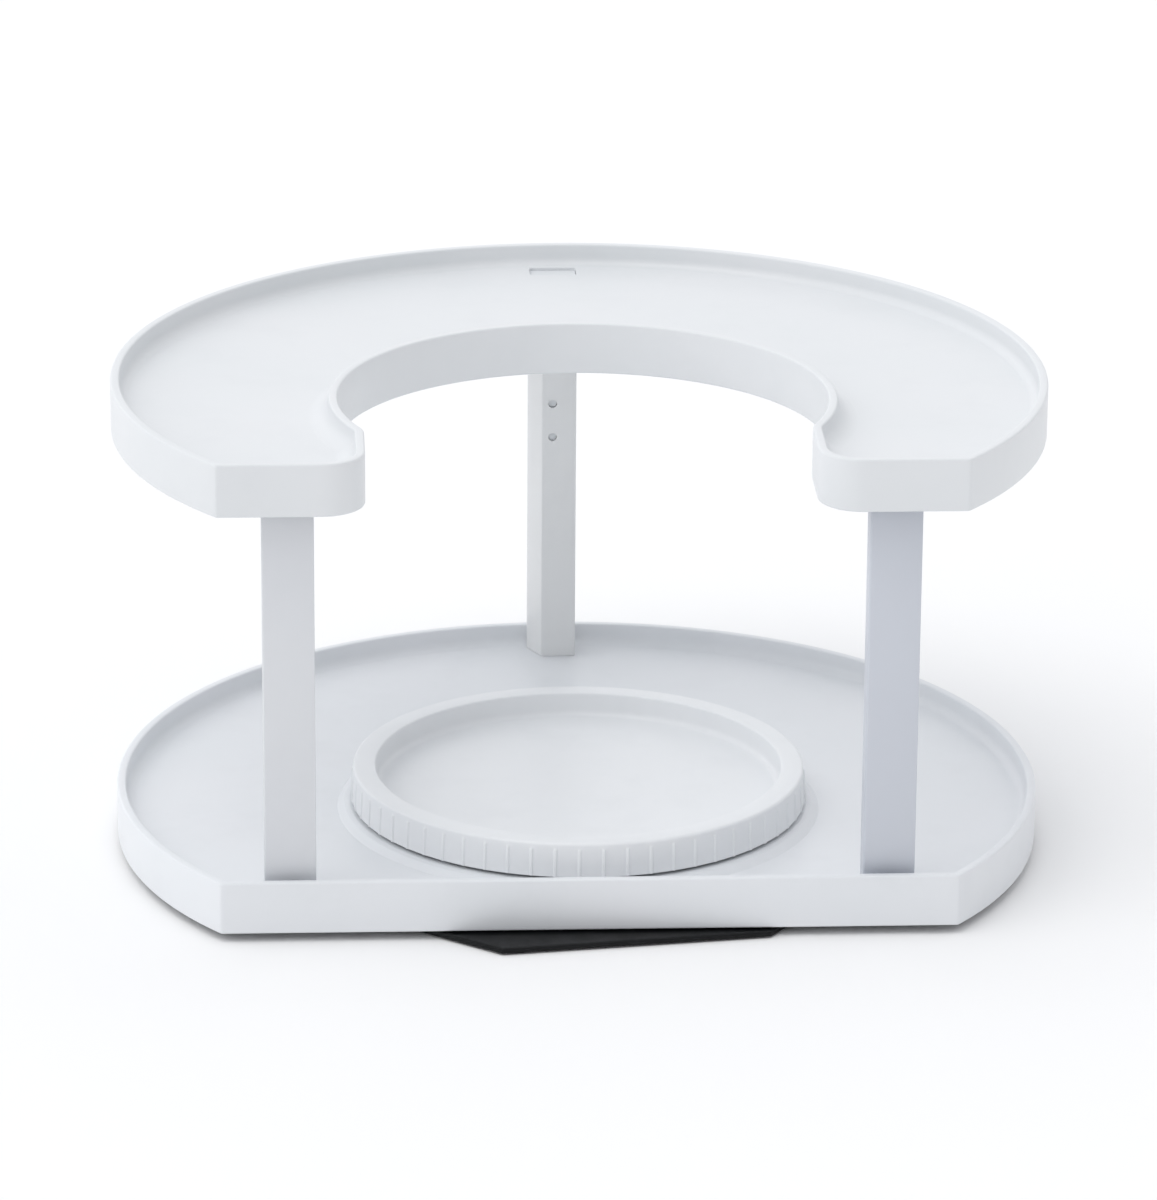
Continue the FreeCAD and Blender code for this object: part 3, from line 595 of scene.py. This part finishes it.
def addRibs(bm, deckUnder, start, mouth):
    # spokes and two hoops that stiffen a deck from below
    half = ribs["thick"] / 2
    for k in range(ribs["count"]):
        turn = 180 / ribs["count"] + k * 360 / ribs["count"]
        reach = spokeReach(turn)
        if reach - start < 4 or (mouth and inMouth(polar(start, turn))):
            continue
        addBox(bm, (start, -half, deckUnder - ribs["drop"]), (reach, half, deckUnder + 0.4), turn)
    for radius in (start, (start + tier["radius"]) / 2):
        front = tier["frontCut"] - tier["wall"]
        limit = math.degrees(math.asin(min(front / radius, 1.0)))
        if mouth:
            edgeX = tier["mouthHalf"] + tier["wall"]
            limit = min(limit, math.degrees(math.acos(edgeX / radius)))
        rows = []
        full = front >= radius and not mouth
        steps = 180
        for i in range(steps + 1):
            turn = -90 + 360 * i / steps if full else -limit + (180 + 2 * limit) * i / steps
            inner = polar(radius - half, turn)
            outer = polar(radius + half, turn)
            low = deckUnder - ribs["drop"]
            corners = [(inner, low), (outer, low), (outer, deckUnder + 0.4), (inner, deckUnder + 0.4)]
            rows.append(addRow(bm, [Vector((p.x, p.y, z)) for p, z in corners]))
        skin(bm, rows)
        if not full:
            bm.faces.new(rows[0])
            bm.faces.new(rows[-1])


# posts and the keys in them
postSize = dict(width=19.6, depth=12.0, wall=2.0, bevel=5.5, bevelDepth=11.0, corner=0.9, block=14.0, edge=0.4)
keySize = dict(head=2.0, width=7.0, depth=4.0, shift=2.368, slotClear=0.3, button=1.6, buttonClear=0.15,
               recess=1.2, drops=(54.8, 69.1), tail=6.0, pocket=3.0, ledge=2.2, socketWall=2.0,
               socketDepth=5.0, socketClear=0.1)
postSpots = dict(left=(-113.0, -95.0, 180), right=(113.0, -95.0, 180), back=(-2.7, 160.0, 0))


def toPost(points, side):
    # from a post's own plan, u across and v outwards, to its place on the rack
    x, y, turn = postSpots[side]
    spin = Matrix.Rotation(math.radians(turn), 3, "Z")
    return [spin @ p + Vector((x, y, 0)) for p in points]


def makePost(side, deckTop, postTop, upperDeck):
    bm = bmesh.new()
    edge = postSize["edge"]
    rows = []
    for inset, z in ((edge, deckTop), (0.3 * edge, deckTop + 0.3 * edge), (0, deckTop + edge),
                     (0, postTop - edge), (0.3 * edge, postTop - 0.3 * edge), (edge, postTop)):
        loop = softLoop([Vector((p.x, p.y, 0)) for p in shrinkPost(inset)], postSize["corner"] - inset)
        rows.append(addRow(bm, toPost(atHeight(loop, z), side)))
    bore = softLoop(shrinkPost(postSize["wall"]), 0.5)
    rows.append(addRow(bm, toPost(atHeight(bore, postTop), side)))
    rows.append(addRow(bm, toPost(atHeight(bore, deckTop + postSize["block"]), side)))
    skin(bm, rows)
    fillFlat(bm, rows[0])
    fillFlat(bm, rows[-1])
    post = newPiece(side + "Post", bm, postAbs[side])
    holes = bmesh.new()
    for drop in keySize["drops"]:
        ends = [Vector((0, v, upperDeck - drop)) for v in (-1.0, postSize["depth"] / 2)]
        addCylinder(holes, *toPost(ends, side), keySize["button"] + keySize["buttonClear"])
    carve(post, [("DIFFERENCE", holes)], postAbs[side])
    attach(post, "rack")
    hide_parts(side + "_post")


def shrinkPost(inset):
    # the post's five corners, always five so that rows match
    half = postSize["width"] / 2
    lean = math.atan2(postSize["bevel"], postSize["bevelDepth"])
    shift = inset / math.cos(lean)
    inner = -half + postSize["bevel"] + shift - inset * math.tan(lean)
    back = postSize["depth"] - inset
    sideV = min(postSize["bevelDepth"] + (shift - inset) / math.tan(lean), back - 0.3)
    sideU = inner - (sideV - inset) * math.tan(lean)
    corners = [(inner, inset), (half - inset, inset), (half - inset, back), (sideU, back), (sideU, sideV)]
    return [Vector((u, v, 0)) for u, v in corners]


def pocketLoop(grow, corner):
    half = postSize["width"] / 2 - 0.3 + grow
    low = 1.3 - grow
    high = postSize["depth"] - 0.3 + grow
    return softLoop([Vector((u, v, 0)) for u, v in ((-half, low), (half, low), (half, high), (-half, high))], corner)


def makeKey(side, upperDeck):
    floor = upperDeck - keySize["pocket"]
    bm = bmesh.new()
    rows = [addRow(bm, toPost(atHeight(pocketLoop(-0.15, 1.2), floor), side))]
    for k in range(5):
        a = math.pi / 2 * k / 4
        loop = pocketLoop(-0.15 - 0.3 * (1 - math.cos(a)), 1.2)
        rows.append(addRow(bm, toPost(atHeight(loop, floor + keySize["head"] - 0.3 * (1 - math.sin(a))), side)))
    skin(bm, rows)
    fillFlat(bm, rows[0])
    fillFlat(bm, rows[-1])
    v0 = postSize["wall"] + keySize["slotClear"]
    u0 = keySize["shift"] - keySize["width"] / 2
    low = upperDeck - keySize["drops"][1] - keySize["tail"]
    corners = [(u0, v0), (u0 + keySize["width"], v0), (u0 + keySize["width"], v0 + keySize["depth"]),
               (u0, v0 + keySize["depth"])]
    stem = toPost(softLoop([Vector((u, v, 0)) for u, v in corners], 0.4), side)
    addPrism(bm, stem, low, floor + 0.3)
    for drop in keySize["drops"]:
        ends = [Vector((0, v, upperDeck - drop)) for v in (keySize["recess"], v0 + 1)]
        addCylinder(bm, *toPost(ends, side), keySize["button"])
    key = newPiece(side + "PostKey", bm, whiteClipAbs)
    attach(key, "rack")
    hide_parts(side + "_post_key")


# lower tray
dishSize = dict(y=-12.1, radius=88.5, draft=0.6, wall=2.2, band=9.5, depth=9.3, grips=60, gripWidth=1.1,
                gripProud=0.45, gripTurn=-2.4, gripStop=2.2, edge=1.2, floorFillet=2.5,
                ballCircle=61.0, track=1.25, cageSide=4.2, hub=7.0, hubClear=0.08, pilot=1.6)
collar = dict(foot=94.1, shoulder=91.3, crest=89.4, inner=84.0, height=2.7)
race = dict(inner=54.0, seat=66.0, outer=70.0)
ball = dict(radius=2.4, clear=0.1, rackCircle=63.0, rackCount=24, dishCount=20)
screwHead = dict(circle=57.2, hole=1.5, sink=3.4, height=1.3, rackTurns=(65, 115, 245, 295),
                 baseTurns=(45, 135, 225, 315))
dishAxis = Vector((0, dishSize["y"], 0))
trayLow, trayHigh = cadBoxMm("lower_tray")
shelfHigh = cadBoxMm("upper_shelf")[1]
upperDeck = shelfHigh.z - tier["rim"]
postTop = upperDeck - keySize["pocket"] - keySize["ledge"]
deckTop = trayHigh.z - tier["rim"]
dishBallZ = sum(c.z for c in cadBoxMm("dish_balls")) / 2
rackBallZ = sum(c.z for c in cadBoxMm("rack_balls")) / 2


def grooveArc(circle, z, side, level, steps=8):
    # section of a ball track where it dips below (side -1) or above (side 1) a level
    radius = ball["radius"] + ball["clear"]
    half = math.acos(min(abs(level - z) / radius, 1.0))
    points = []
    for i in range(steps + 1):
        a = -half + 2 * half * i / steps
        points.append((circle + radius * math.sin(a), z + side * radius * math.cos(a)))
    return points


def circleLoop(centre, radius, steps):
    return [centre + polar(radius, 360 * i / steps) for i in range(steps)]


def makeLowerTray():
    bm = bmesh.new()
    top, under = addTierShell(bm, trayOutline, trayLow.z, trayHigh.z)
    deckUnder = deckTop - tier["deck"]
    crest = deckTop + collar["height"]
    hub = dishSize["hub"] + dishSize["hubClear"]
    trackIn = dishSize["ballCircle"] - dishSize["cageSide"]
    trackOut = dishSize["ballCircle"] + dishSize["cageSide"]
    trackTop = deckTop + dishSize["track"]
    # from the deck over the collar and the ball track to the hub hole, turned about the dish axis
    section = softPath([
        (collar["foot"], deckTop, 0), (collar["shoulder"], crest - 0.35, 1.0), (collar["crest"], crest, 0.4),
        (collar["inner"], crest, 0.5), (collar["inner"], deckTop, 0.4), (trackOut, deckTop, 0.2),
        (trackOut, trackTop, 0)])
    section += [Vector(p) for p in reversed(grooveArc(dishSize["ballCircle"], dishBallZ, -1, trackTop))]
    section += softPath([(trackIn, trackTop, 0), (trackIn, deckTop, 0), (hub + 0.4, deckTop, 0),
                         (hub, deckTop - 0.4, 0), (hub, deckUnder, 0)])
    steps = 240
    rows = [addRow(bm, [dishAxis + polar(p.x, 360 * i / steps, p.y) for i in range(steps)]) for p in section]
    skin(bm, rows)
    fillFlat(bm, top, rows[0])
    # race seat under the deck, round the rack axis
    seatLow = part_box("rack_race")[1].z / mm
    seat = [(race["seat"], deckUnder), (race["seat"], seatLow), (race["inner"], seatLow), (race["inner"], deckUnder)]
    rings = [addRow(bm, circleLoop(Vector((0, 0, z)), r, 120)) for r, z in seat]
    skin(bm, rings)
    fillFlat(bm, under, rings[0])
    fillFlat(bm, rings[-1], rows[-1])
    tray = newPiece("lowerTray", bm, lowerTrayPaintedLightAbs)
    # sunk holes of the screws that hold the race
    holes = bmesh.new()
    sinks = bmesh.new()
    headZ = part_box("rack_race_screws")[1].z / mm - screwHead["height"]
    for turn in screwHead["rackTurns"]:
        spot = polar(screwHead["circle"], turn)
        addPrism(holes, circleLoop(spot, screwHead["hole"], 24), seatLow - 1, deckTop + 1)
        addPrism(sinks, circleLoop(spot, screwHead["sink"], 32), headZ, deckTop + 1)
    carve(tray, [("DIFFERENCE", holes), ("DIFFERENCE", sinks)], lowerTrayPaintedLightAbs)
    bm = bmesh.new()
    addRibs(bm, deckUnder, ribs["ring"], mouth=False)
    tray = joinPieces("lowerTray", [tray, newPiece("trayRibs", bm, lowerTrayPaintedLightAbs)], lowerTrayPaintedLightAbs)
    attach(tray, "rack")
    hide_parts("lower_tray")


makeLowerTray()
print("lower tray ready")


def makeUpperShelf():
    bm = bmesh.new()
    low = shelfHigh.z - (trayHigh.z - trayLow.z)
    top, under = addTierShell(bm, shelfOutline, low, shelfHigh.z)
    fillFlat(bm, top)
    fillFlat(bm, under)
    shelf = newPiece("upperShelf", bm, whiteAbs)
    deckUnder = upperDeck - tier["deck"]
    sockets = bmesh.new()
    bores = bmesh.new()
    pockets = bmesh.new()
    slots = bmesh.new()
    for side in postSpots:
        base = postTop - keySize["socketDepth"]
        grow = keySize["socketWall"] + keySize["socketClear"]
        outer = toPost(softLoop(shrinkPost(-grow), 2.6), side)
        addPrism(sockets, outer, base, deckUnder + 0.6)
        addPrism(bores, toPost(softLoop(shrinkPost(-keySize["socketClear"]), 0.9), side), base - 4, postTop)
        addPrism(pockets, toPost(pocketLoop(0.0, 1.5), side), upperDeck - keySize["pocket"], upperDeck + 6)
        clear = keySize["slotClear"]
        u0 = keySize["shift"] - keySize["width"] / 2 - clear
        u1 = u0 + keySize["width"] + 2 * clear
        v0 = postSize["wall"]
        v1 = v0 + keySize["depth"] + 2 * clear
        corners = [Vector((u, v, 0)) for u, v in ((u0, v0), (u1, v0), (u1, v1), (u0, v1))]
        addPrism(slots, toPost(softLoop(corners, 0.4), side), postTop - 1, upperDeck)
    carve(shelf, [("UNION", sockets), ("DIFFERENCE", bores), ("DIFFERENCE", pockets), ("DIFFERENCE", slots)],
          whiteAbs)
    bm = bmesh.new()
    addRibs(bm, deckUnder, ribs["shelfRing"], mouth=True)
    stiffeners = newPiece("shelfRibs", bm, whiteAbs)
    shelf = joinPieces("upperShelf", [shelf, stiffeners], whiteAbs)
    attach(shelf, "rack")
    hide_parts("upper_shelf")


makeUpperShelf()
for side in postSpots:
    makePost(side, deckTop, postTop, upperDeck)
    makeKey(side, upperDeck)
print("upper shelf, posts and keys ready")


# dish: one six-degree slice, repeated round the dish axis
def makeDish():
    size = dishSize
    dishLow, dishTop = (c.z for c in cadBoxMm("dish"))
    bottom = deckTop + collar["height"] + 1.0
    floorTop = dishTop - size["depth"]
    floorUnder = floorTop - size["wall"]
    radius = size["radius"]
    topRadius = radius - size["draft"]
    rimIn = radius - size["band"]
    trackLow = floorUnder - size["track"]
    trackIn = size["ballCircle"] - size["cageSide"]
    trackOut = size["ballCircle"] + size["cageSide"]
    gripTop = dishTop - size["gripStop"]

    def skirtRadius(z):
        return radius - size["draft"] * (z - bottom) / (dishTop - bottom)

    section = softPath([
        (0, floorTop, 0), (rimIn - size["floorFillet"] - 0.5, floorTop, 0), (rimIn, floorTop, size["floorFillet"]),
        (rimIn, dishTop, 0.8), (topRadius, dishTop, size["edge"]), (skirtRadius(gripTop), gripTop, 0)])
    section += [Vector((skirtRadius(z), z)) for z in (gripTop - 0.35, gripTop - 0.7, bottom + 0.5)]
    section += softPath([
        (radius - 0.8, bottom, 0), (radius - size["wall"], bottom, 0),
        (topRadius - size["wall"], dishTop - size["wall"], 0.8),
        (rimIn + size["wall"], dishTop - size["wall"], 0.8), (rimIn + size["wall"], floorUnder, 0.4),
        (trackOut, floorUnder, 0), (trackOut, trackLow, 0)])
    section += [Vector(p) for p in reversed(grooveArc(size["ballCircle"], dishBallZ, 1, trackLow))]
    section += softPath([
        (trackIn, trackLow, 0), (trackIn, floorUnder, 0), (size["hub"], floorUnder, 0.6),
        (size["hub"], dishLow, 0.3), (size["pilot"], dishLow, 0), (size["pilot"], floorUnder - 1, 0),
        (0, floorUnder - 1, 0)])
    # across one slice, in mm along the skirt: a grip rib between two flat half pads
    pitch = 2 * math.pi * radius / size["grips"]
    half = size["gripWidth"] / 2
    across = [-pitch / 2, -3.0, -1.6, -half - 0.25, -half, -half + 0.12, -half + 0.25]
    across += [0.0] + [-a for a in reversed(across)]
    slice60 = bmesh.new()
    columns = []
    for offset in across:
        inside = (half + 0.25 - abs(offset)) / 0.5
        rise = size["gripProud"] * (0.5 - 0.5 * math.cos(math.pi * min(max(inside, 0), 1)))
        column = []
        for p in section:
            fade = min(max((gripTop - p.y) / 0.7, 0), 1) if p.x > radius - 1.0 and p.y > bottom + 0.1 else 0
            turn = math.degrees(offset / radius)
            column.append(polar(p.x + rise * fade, turn, p.y))
        columns.append(addRow(slice60, column))
    for left, right in zip(columns, columns[1:]):
        for i in range(len(section) - 1):
            corners = [left[i], right[i], right[i + 1], left[i + 1]]
            if section[i].x == 0:
                corners = [left[i], right[i + 1], left[i + 1]]
            elif section[i + 1].x == 0:
                corners = [left[i], right[i], left[i + 1]]
            slice60.faces.new(corners)
    mesh = bpy.data.meshes.new("dish")
    bmesh.ops.remove_doubles(slice60, verts=slice60.verts, dist=0.001 * mm)
    slice60.to_mesh(mesh)
    slice60.free()
    dish = bpy.data.objects.new("dishTurntable", mesh)
    bpy.context.scene.collection.objects.link(dish)
    repeatRound(dish, whiteDishPaintedLightAbs, size["grips"], first=-90 + size["gripTurn"], centre=dishAxis, merge=0.004,
                sharp=32)
    bm = bmesh.new()
    bm.from_mesh(dish.data)
    bmesh.ops.recalc_face_normals(bm, faces=bm.faces)
    bm.to_mesh(dish.data)
    bm.free()
    finishMesh(dish.data, whiteDishPaintedLightAbs, 32)
    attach(dish, "dish")
    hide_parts("dish")


makeDish()
print("dish ready")


# balls
def makeBalls(name, node, body, circle, count, centre, z):
    bm = bmesh.new()
    bmesh.ops.create_icosphere(bm, subdivisions=3, radius=ball["radius"] * mm,
                               matrix=Matrix.Translation((0, 0, z * mm)))
    balls = newPiece(name, bm, ballSteel, sharp=60)
    repeatRound(balls, ballSteel, count, radius=circle, centre=centre, sharp=60)
    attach(balls, body)
    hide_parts(node)


makeBalls("rackBalls", "rack_balls", "rack_cage", ball["rackCircle"], ball["rackCount"], (0, 0, 0), rackBallZ)
makeBalls("dishBalls", "dish_balls", "dish_cage", dishSize["ballCircle"], ball["dishCount"], dishAxis, dishBallZ)

# base
base = dict(radius=134.5, turn=-104.6, corner=1.2, thick=2.0, chamfer=0.6, bore=40.0, ribHeight=2.6, ribWall=2.0,
            ribOuter=100.0, ribCount=16, foot=7.0, footCircle=114.0, footSunk=0.8, footClear=0.05,
            gripIn=44.0, gripOut=52.0)


def octagonLoop(inset, z):
    corners = [polar(base["radius"] - inset, base["turn"] + 45 * k) for k in range(8)]
    return atHeight(softLoop(corners, base["corner"], 5), z)


def makeBase():
    low, high = cadBoxMm("base_plate")
    top = low.z + base["thick"]
    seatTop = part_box("base_race")[0].z / mm
    bm = bmesh.new()
    rows = []
    for inset, z in ((0.3, low.z), (0.08, low.z + 0.08), (0, low.z + 0.3), (0, top - base["chamfer"]),
                     (0.1, top - 0.3), (0.35, top - 0.1), (base["chamfer"] + 0.1, top), (2.0, top)):
        rows.append(addRow(bm, octagonLoop(inset, z)))
    skin(bm, rows)
    # seat for the race and raised lip of the middle opening, turned about the rack axis
    centre = [(base["ribOuter"], top), (base["ribOuter"], top + base["ribHeight"]),
              (base["ribOuter"] - base["ribWall"], top + base["ribHeight"]), (base["ribOuter"] - base["ribWall"], top),
              (race["seat"], top), (race["seat"], seatTop), (race["inner"], seatTop), (race["inner"], top),
              (base["bore"] + base["ribWall"], top), (base["bore"] + base["ribWall"], top + base["ribHeight"]),
              (base["bore"], top + base["ribHeight"]), (base["bore"], low.z), (base["gripIn"], low.z),
              (base["gripIn"], low.z + base["footSunk"]), (base["gripOut"], low.z + base["footSunk"]),
              (base["gripOut"], low.z)]
    rings = [addRow(bm, circleLoop(Vector((0, 0, z)), r, 120)) for r, z in centre]
    skin(bm, rings)
    fillFlat(bm, rows[-1], rings[0])
    pads = []
    for k in range(8):
        middle = polar(base["footCircle"], base["turn"] + 45 * k)
        rim = addRow(bm, atHeight(circleLoop(middle, base["foot"], 40), low.z))
        sunk = addRow(bm, atHeight(circleLoop(middle, base["foot"], 40), low.z + base["footSunk"]))
        skin(bm, [rim, sunk])
        fillFlat(bm, sunk)
        pads.append(rim)
    fillFlat(bm, rows[0], rings[-1], *pads)
    plate = newPiece("basePlate", bm, blackAbs)
    holes = bmesh.new()
    sinks = bmesh.new()
    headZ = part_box("base_race_screws")[0].z / mm + screwHead["height"]
    for turn in screwHead["baseTurns"]:
        spot = polar(screwHead["circle"], turn)
        addPrism(holes, circleLoop(spot, screwHead["hole"], 24), low.z - 1, high.z + 1)
        addPrism(sinks, circleLoop(spot, screwHead["sink"], 32), low.z - 1, headZ)
    carve(plate, [("DIFFERENCE", holes), ("DIFFERENCE", sinks)], blackAbs)
    spoke = bmesh.new()
    start = race["outer"] + 3.0
    half = base["ribWall"] / 2
    addBox(spoke, (start, -half, top - 0.4), (base["ribOuter"] - 1.0, half, top + base["ribHeight"]))
    spokes = repeatRound(newPiece("baseSpokes", spoke, blackAbs), blackAbs, base["ribCount"], first=base["turn"])
    plate = joinPieces("basePlate", [plate, spokes], blackAbs)
    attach(plate, "base")
    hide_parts("base_plate")

    bm = bmesh.new()
    radius = base["foot"] - base["footClear"]
    height = low.z + base["footSunk"]
    section = softPath([(0, 0, 0), (radius, 0, 0.4), (radius, height, 0), (0, height, 0)], 4)
    rows = [addRow(bm, circleLoop(Vector((0, 0, p.y)), p.x, 40)) for p in section[1:-1]]
    skin(bm, rows)
    bm.faces.new(rows[0])
    bm.faces.new(rows[-1])
    feet = repeatRound(newPiece("baseFeet", bm, rubber), rubber, 8, base["footCircle"], base["turn"])
    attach(feet, "base")
    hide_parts("base_feet")

    bm = bmesh.new()
    inner = base["gripIn"] + base["footClear"]
    outer = base["gripOut"] - base["footClear"]
    addTurned(bm, [(inner, 0.2), (inner + 0.2, 0), (outer - 0.2, 0), (outer, 0.2), (outer, height), (inner, height)],
              Vector((0, 0, 0)), 120)
    ring = newPiece("baseGripRing", bm, rubber)
    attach(ring, "base")
    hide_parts("base_grip_ring")


makeBase()
print("base ready")

# CAD pieces that keep their shape and get their finish
finishes = {
    "base_race": zincRace, "rack_race": zincRace, "dish_washer": zincRace,
    "base_race_screws": zincScrew, "rack_race_screws": zincScrew, "post_screws": zincScrew,
    "dish_screw": zincScrew, "rack_ball_cage": nylon, "dish_ball_cage": nylon,
}
for node, material in finishes.items():
    for slot in nodes[node].material_slots:
        slot.material = material
print("finishes given")


# floor, light and camera
def makeFloor():
    material, tree, where, shader = newMaterial("paleFloor")
    cloud = addNode(tree, "ShaderNodeTexNoise", inputs={"Vector": where, "Scale": 3.0, "Detail": 2.0})
    colour = addNode(tree, "ShaderNodeValToRGB", inputs={"Fac": cloud.outputs["Fac"]})
    colour.color_ramp.elements[0].color = linear("#fbfbfb")
    colour.color_ramp.elements[1].color = linear("#fdfdfd")
    tree.links.new(colour.outputs[0], shader.inputs["Base Color"])
    shader.inputs["Roughness"].default_value = 0.9
    bm = bmesh.new()
    reach = 30000
    rows = [addRow(bm, [Vector((-reach, y, 0)), Vector((reach, y, 0))]) for y in (-reach, reach)]
    bm.faces.new((rows[0][0], rows[0][1], rows[1][1], rows[1][0]))
    mesh = bpy.data.meshes.new("floor")
    bm.to_mesh(mesh)
    bm.free()
    mesh.materials.append(material)
    floor = bpy.data.objects.new("floor", mesh)
    bpy.context.scene.collection.objects.link(floor)


def aimed(position, target, roll=0.0):
    # matrix of a light or camera at a position, looking at a target
    ahead = (target - position).normalized()
    right = ahead.cross(Vector((0, 0, 1))).normalized()
    up = right.cross(ahead)
    rolledRight = right * math.cos(roll) + up * math.sin(roll)
    rolledUp = up * math.cos(roll) - right * math.sin(roll)
    turn = Matrix((rolledRight, rolledUp, -ahead)).transposed().to_4x4()
    return Matrix.Translation(position) @ turn


studio = {
    "upperLight": dict(at=(-0.27, -0.24, 0.93), size=38.0, power=0.50, tint="#fffefc"),
    "sideLight": dict(at=(-0.82, -0.22, 0.52), size=50.0, power=0.20, tint="#fffefc"),
    "room": dict(power=0.835, tint="#fbfcff", lean=(-0.24, 0.26, 0.10)),
}


def makeLights():
    # a high soft light and a low one from the left, in a bright room that is dimmer in front and right
    for name in ("upperLight", "sideLight"):
        light = studio[name]
        data = bpy.data.lights.new(name, "SUN")
        data.angle = math.radians(light["size"])
        data.energy = light["power"]
        data.color = linear(light["tint"])[:3]
        lamp = bpy.data.objects.new(name, data)
        lamp.matrix_world = aimed(Vector(light["at"]), Vector((0, 0, 0)))
        bpy.context.scene.collection.objects.link(lamp)
    world = bpy.data.worlds.new("softRoom")
    world.use_nodes = True
    tree = world.node_tree
    room = studio["room"]
    back = tree.nodes["Background"]
    back.inputs["Color"].default_value = linear(room["tint"])
    direction = addNode(tree, "ShaderNodeTexCoord").outputs["Generated"]
    lean = addNode(tree, "ShaderNodeVectorMath", {"operation": "DOT_PRODUCT"}, {0: direction, 1: room["lean"]})
    power = addNode(tree, "ShaderNodeMath", {"operation": "MULTIPLY_ADD"}, {
        0: lean.outputs["Value"], 1: room["power"], 2: room["power"]})
    tree.links.new(power.outputs[0], back.inputs["Strength"])
    bpy.context.scene.world = world


view = dict(target=(-0.3, -12.1, 99.9), distance=2494.4, yaw=2.922, pitch=19.137, roll=0.401, lens=193.26)


def makeCamera():
    yaw, pitch, roll = (math.radians(view[k]) for k in ("yaw", "pitch", "roll"))
    ahead = Vector((math.sin(yaw) * math.cos(pitch), math.cos(yaw) * math.cos(pitch), -math.sin(pitch)))
    target = Vector(view["target"]) * mm
    data = bpy.data.cameras.new("camera")
    data.sensor_width = 36.0
    data.lens = view["lens"]
    data.clip_end = 60.0
    camera = bpy.data.objects.new("camera", data)
    camera.matrix_world = aimed(target - ahead * view["distance"] * mm, target, roll)
    bpy.context.scene.collection.objects.link(camera)
    bpy.context.scene.camera = camera


makeFloor()
makeLights()
makeCamera()
bpy.context.scene.view_settings.view_transform = "Standard"
print("stage ready")
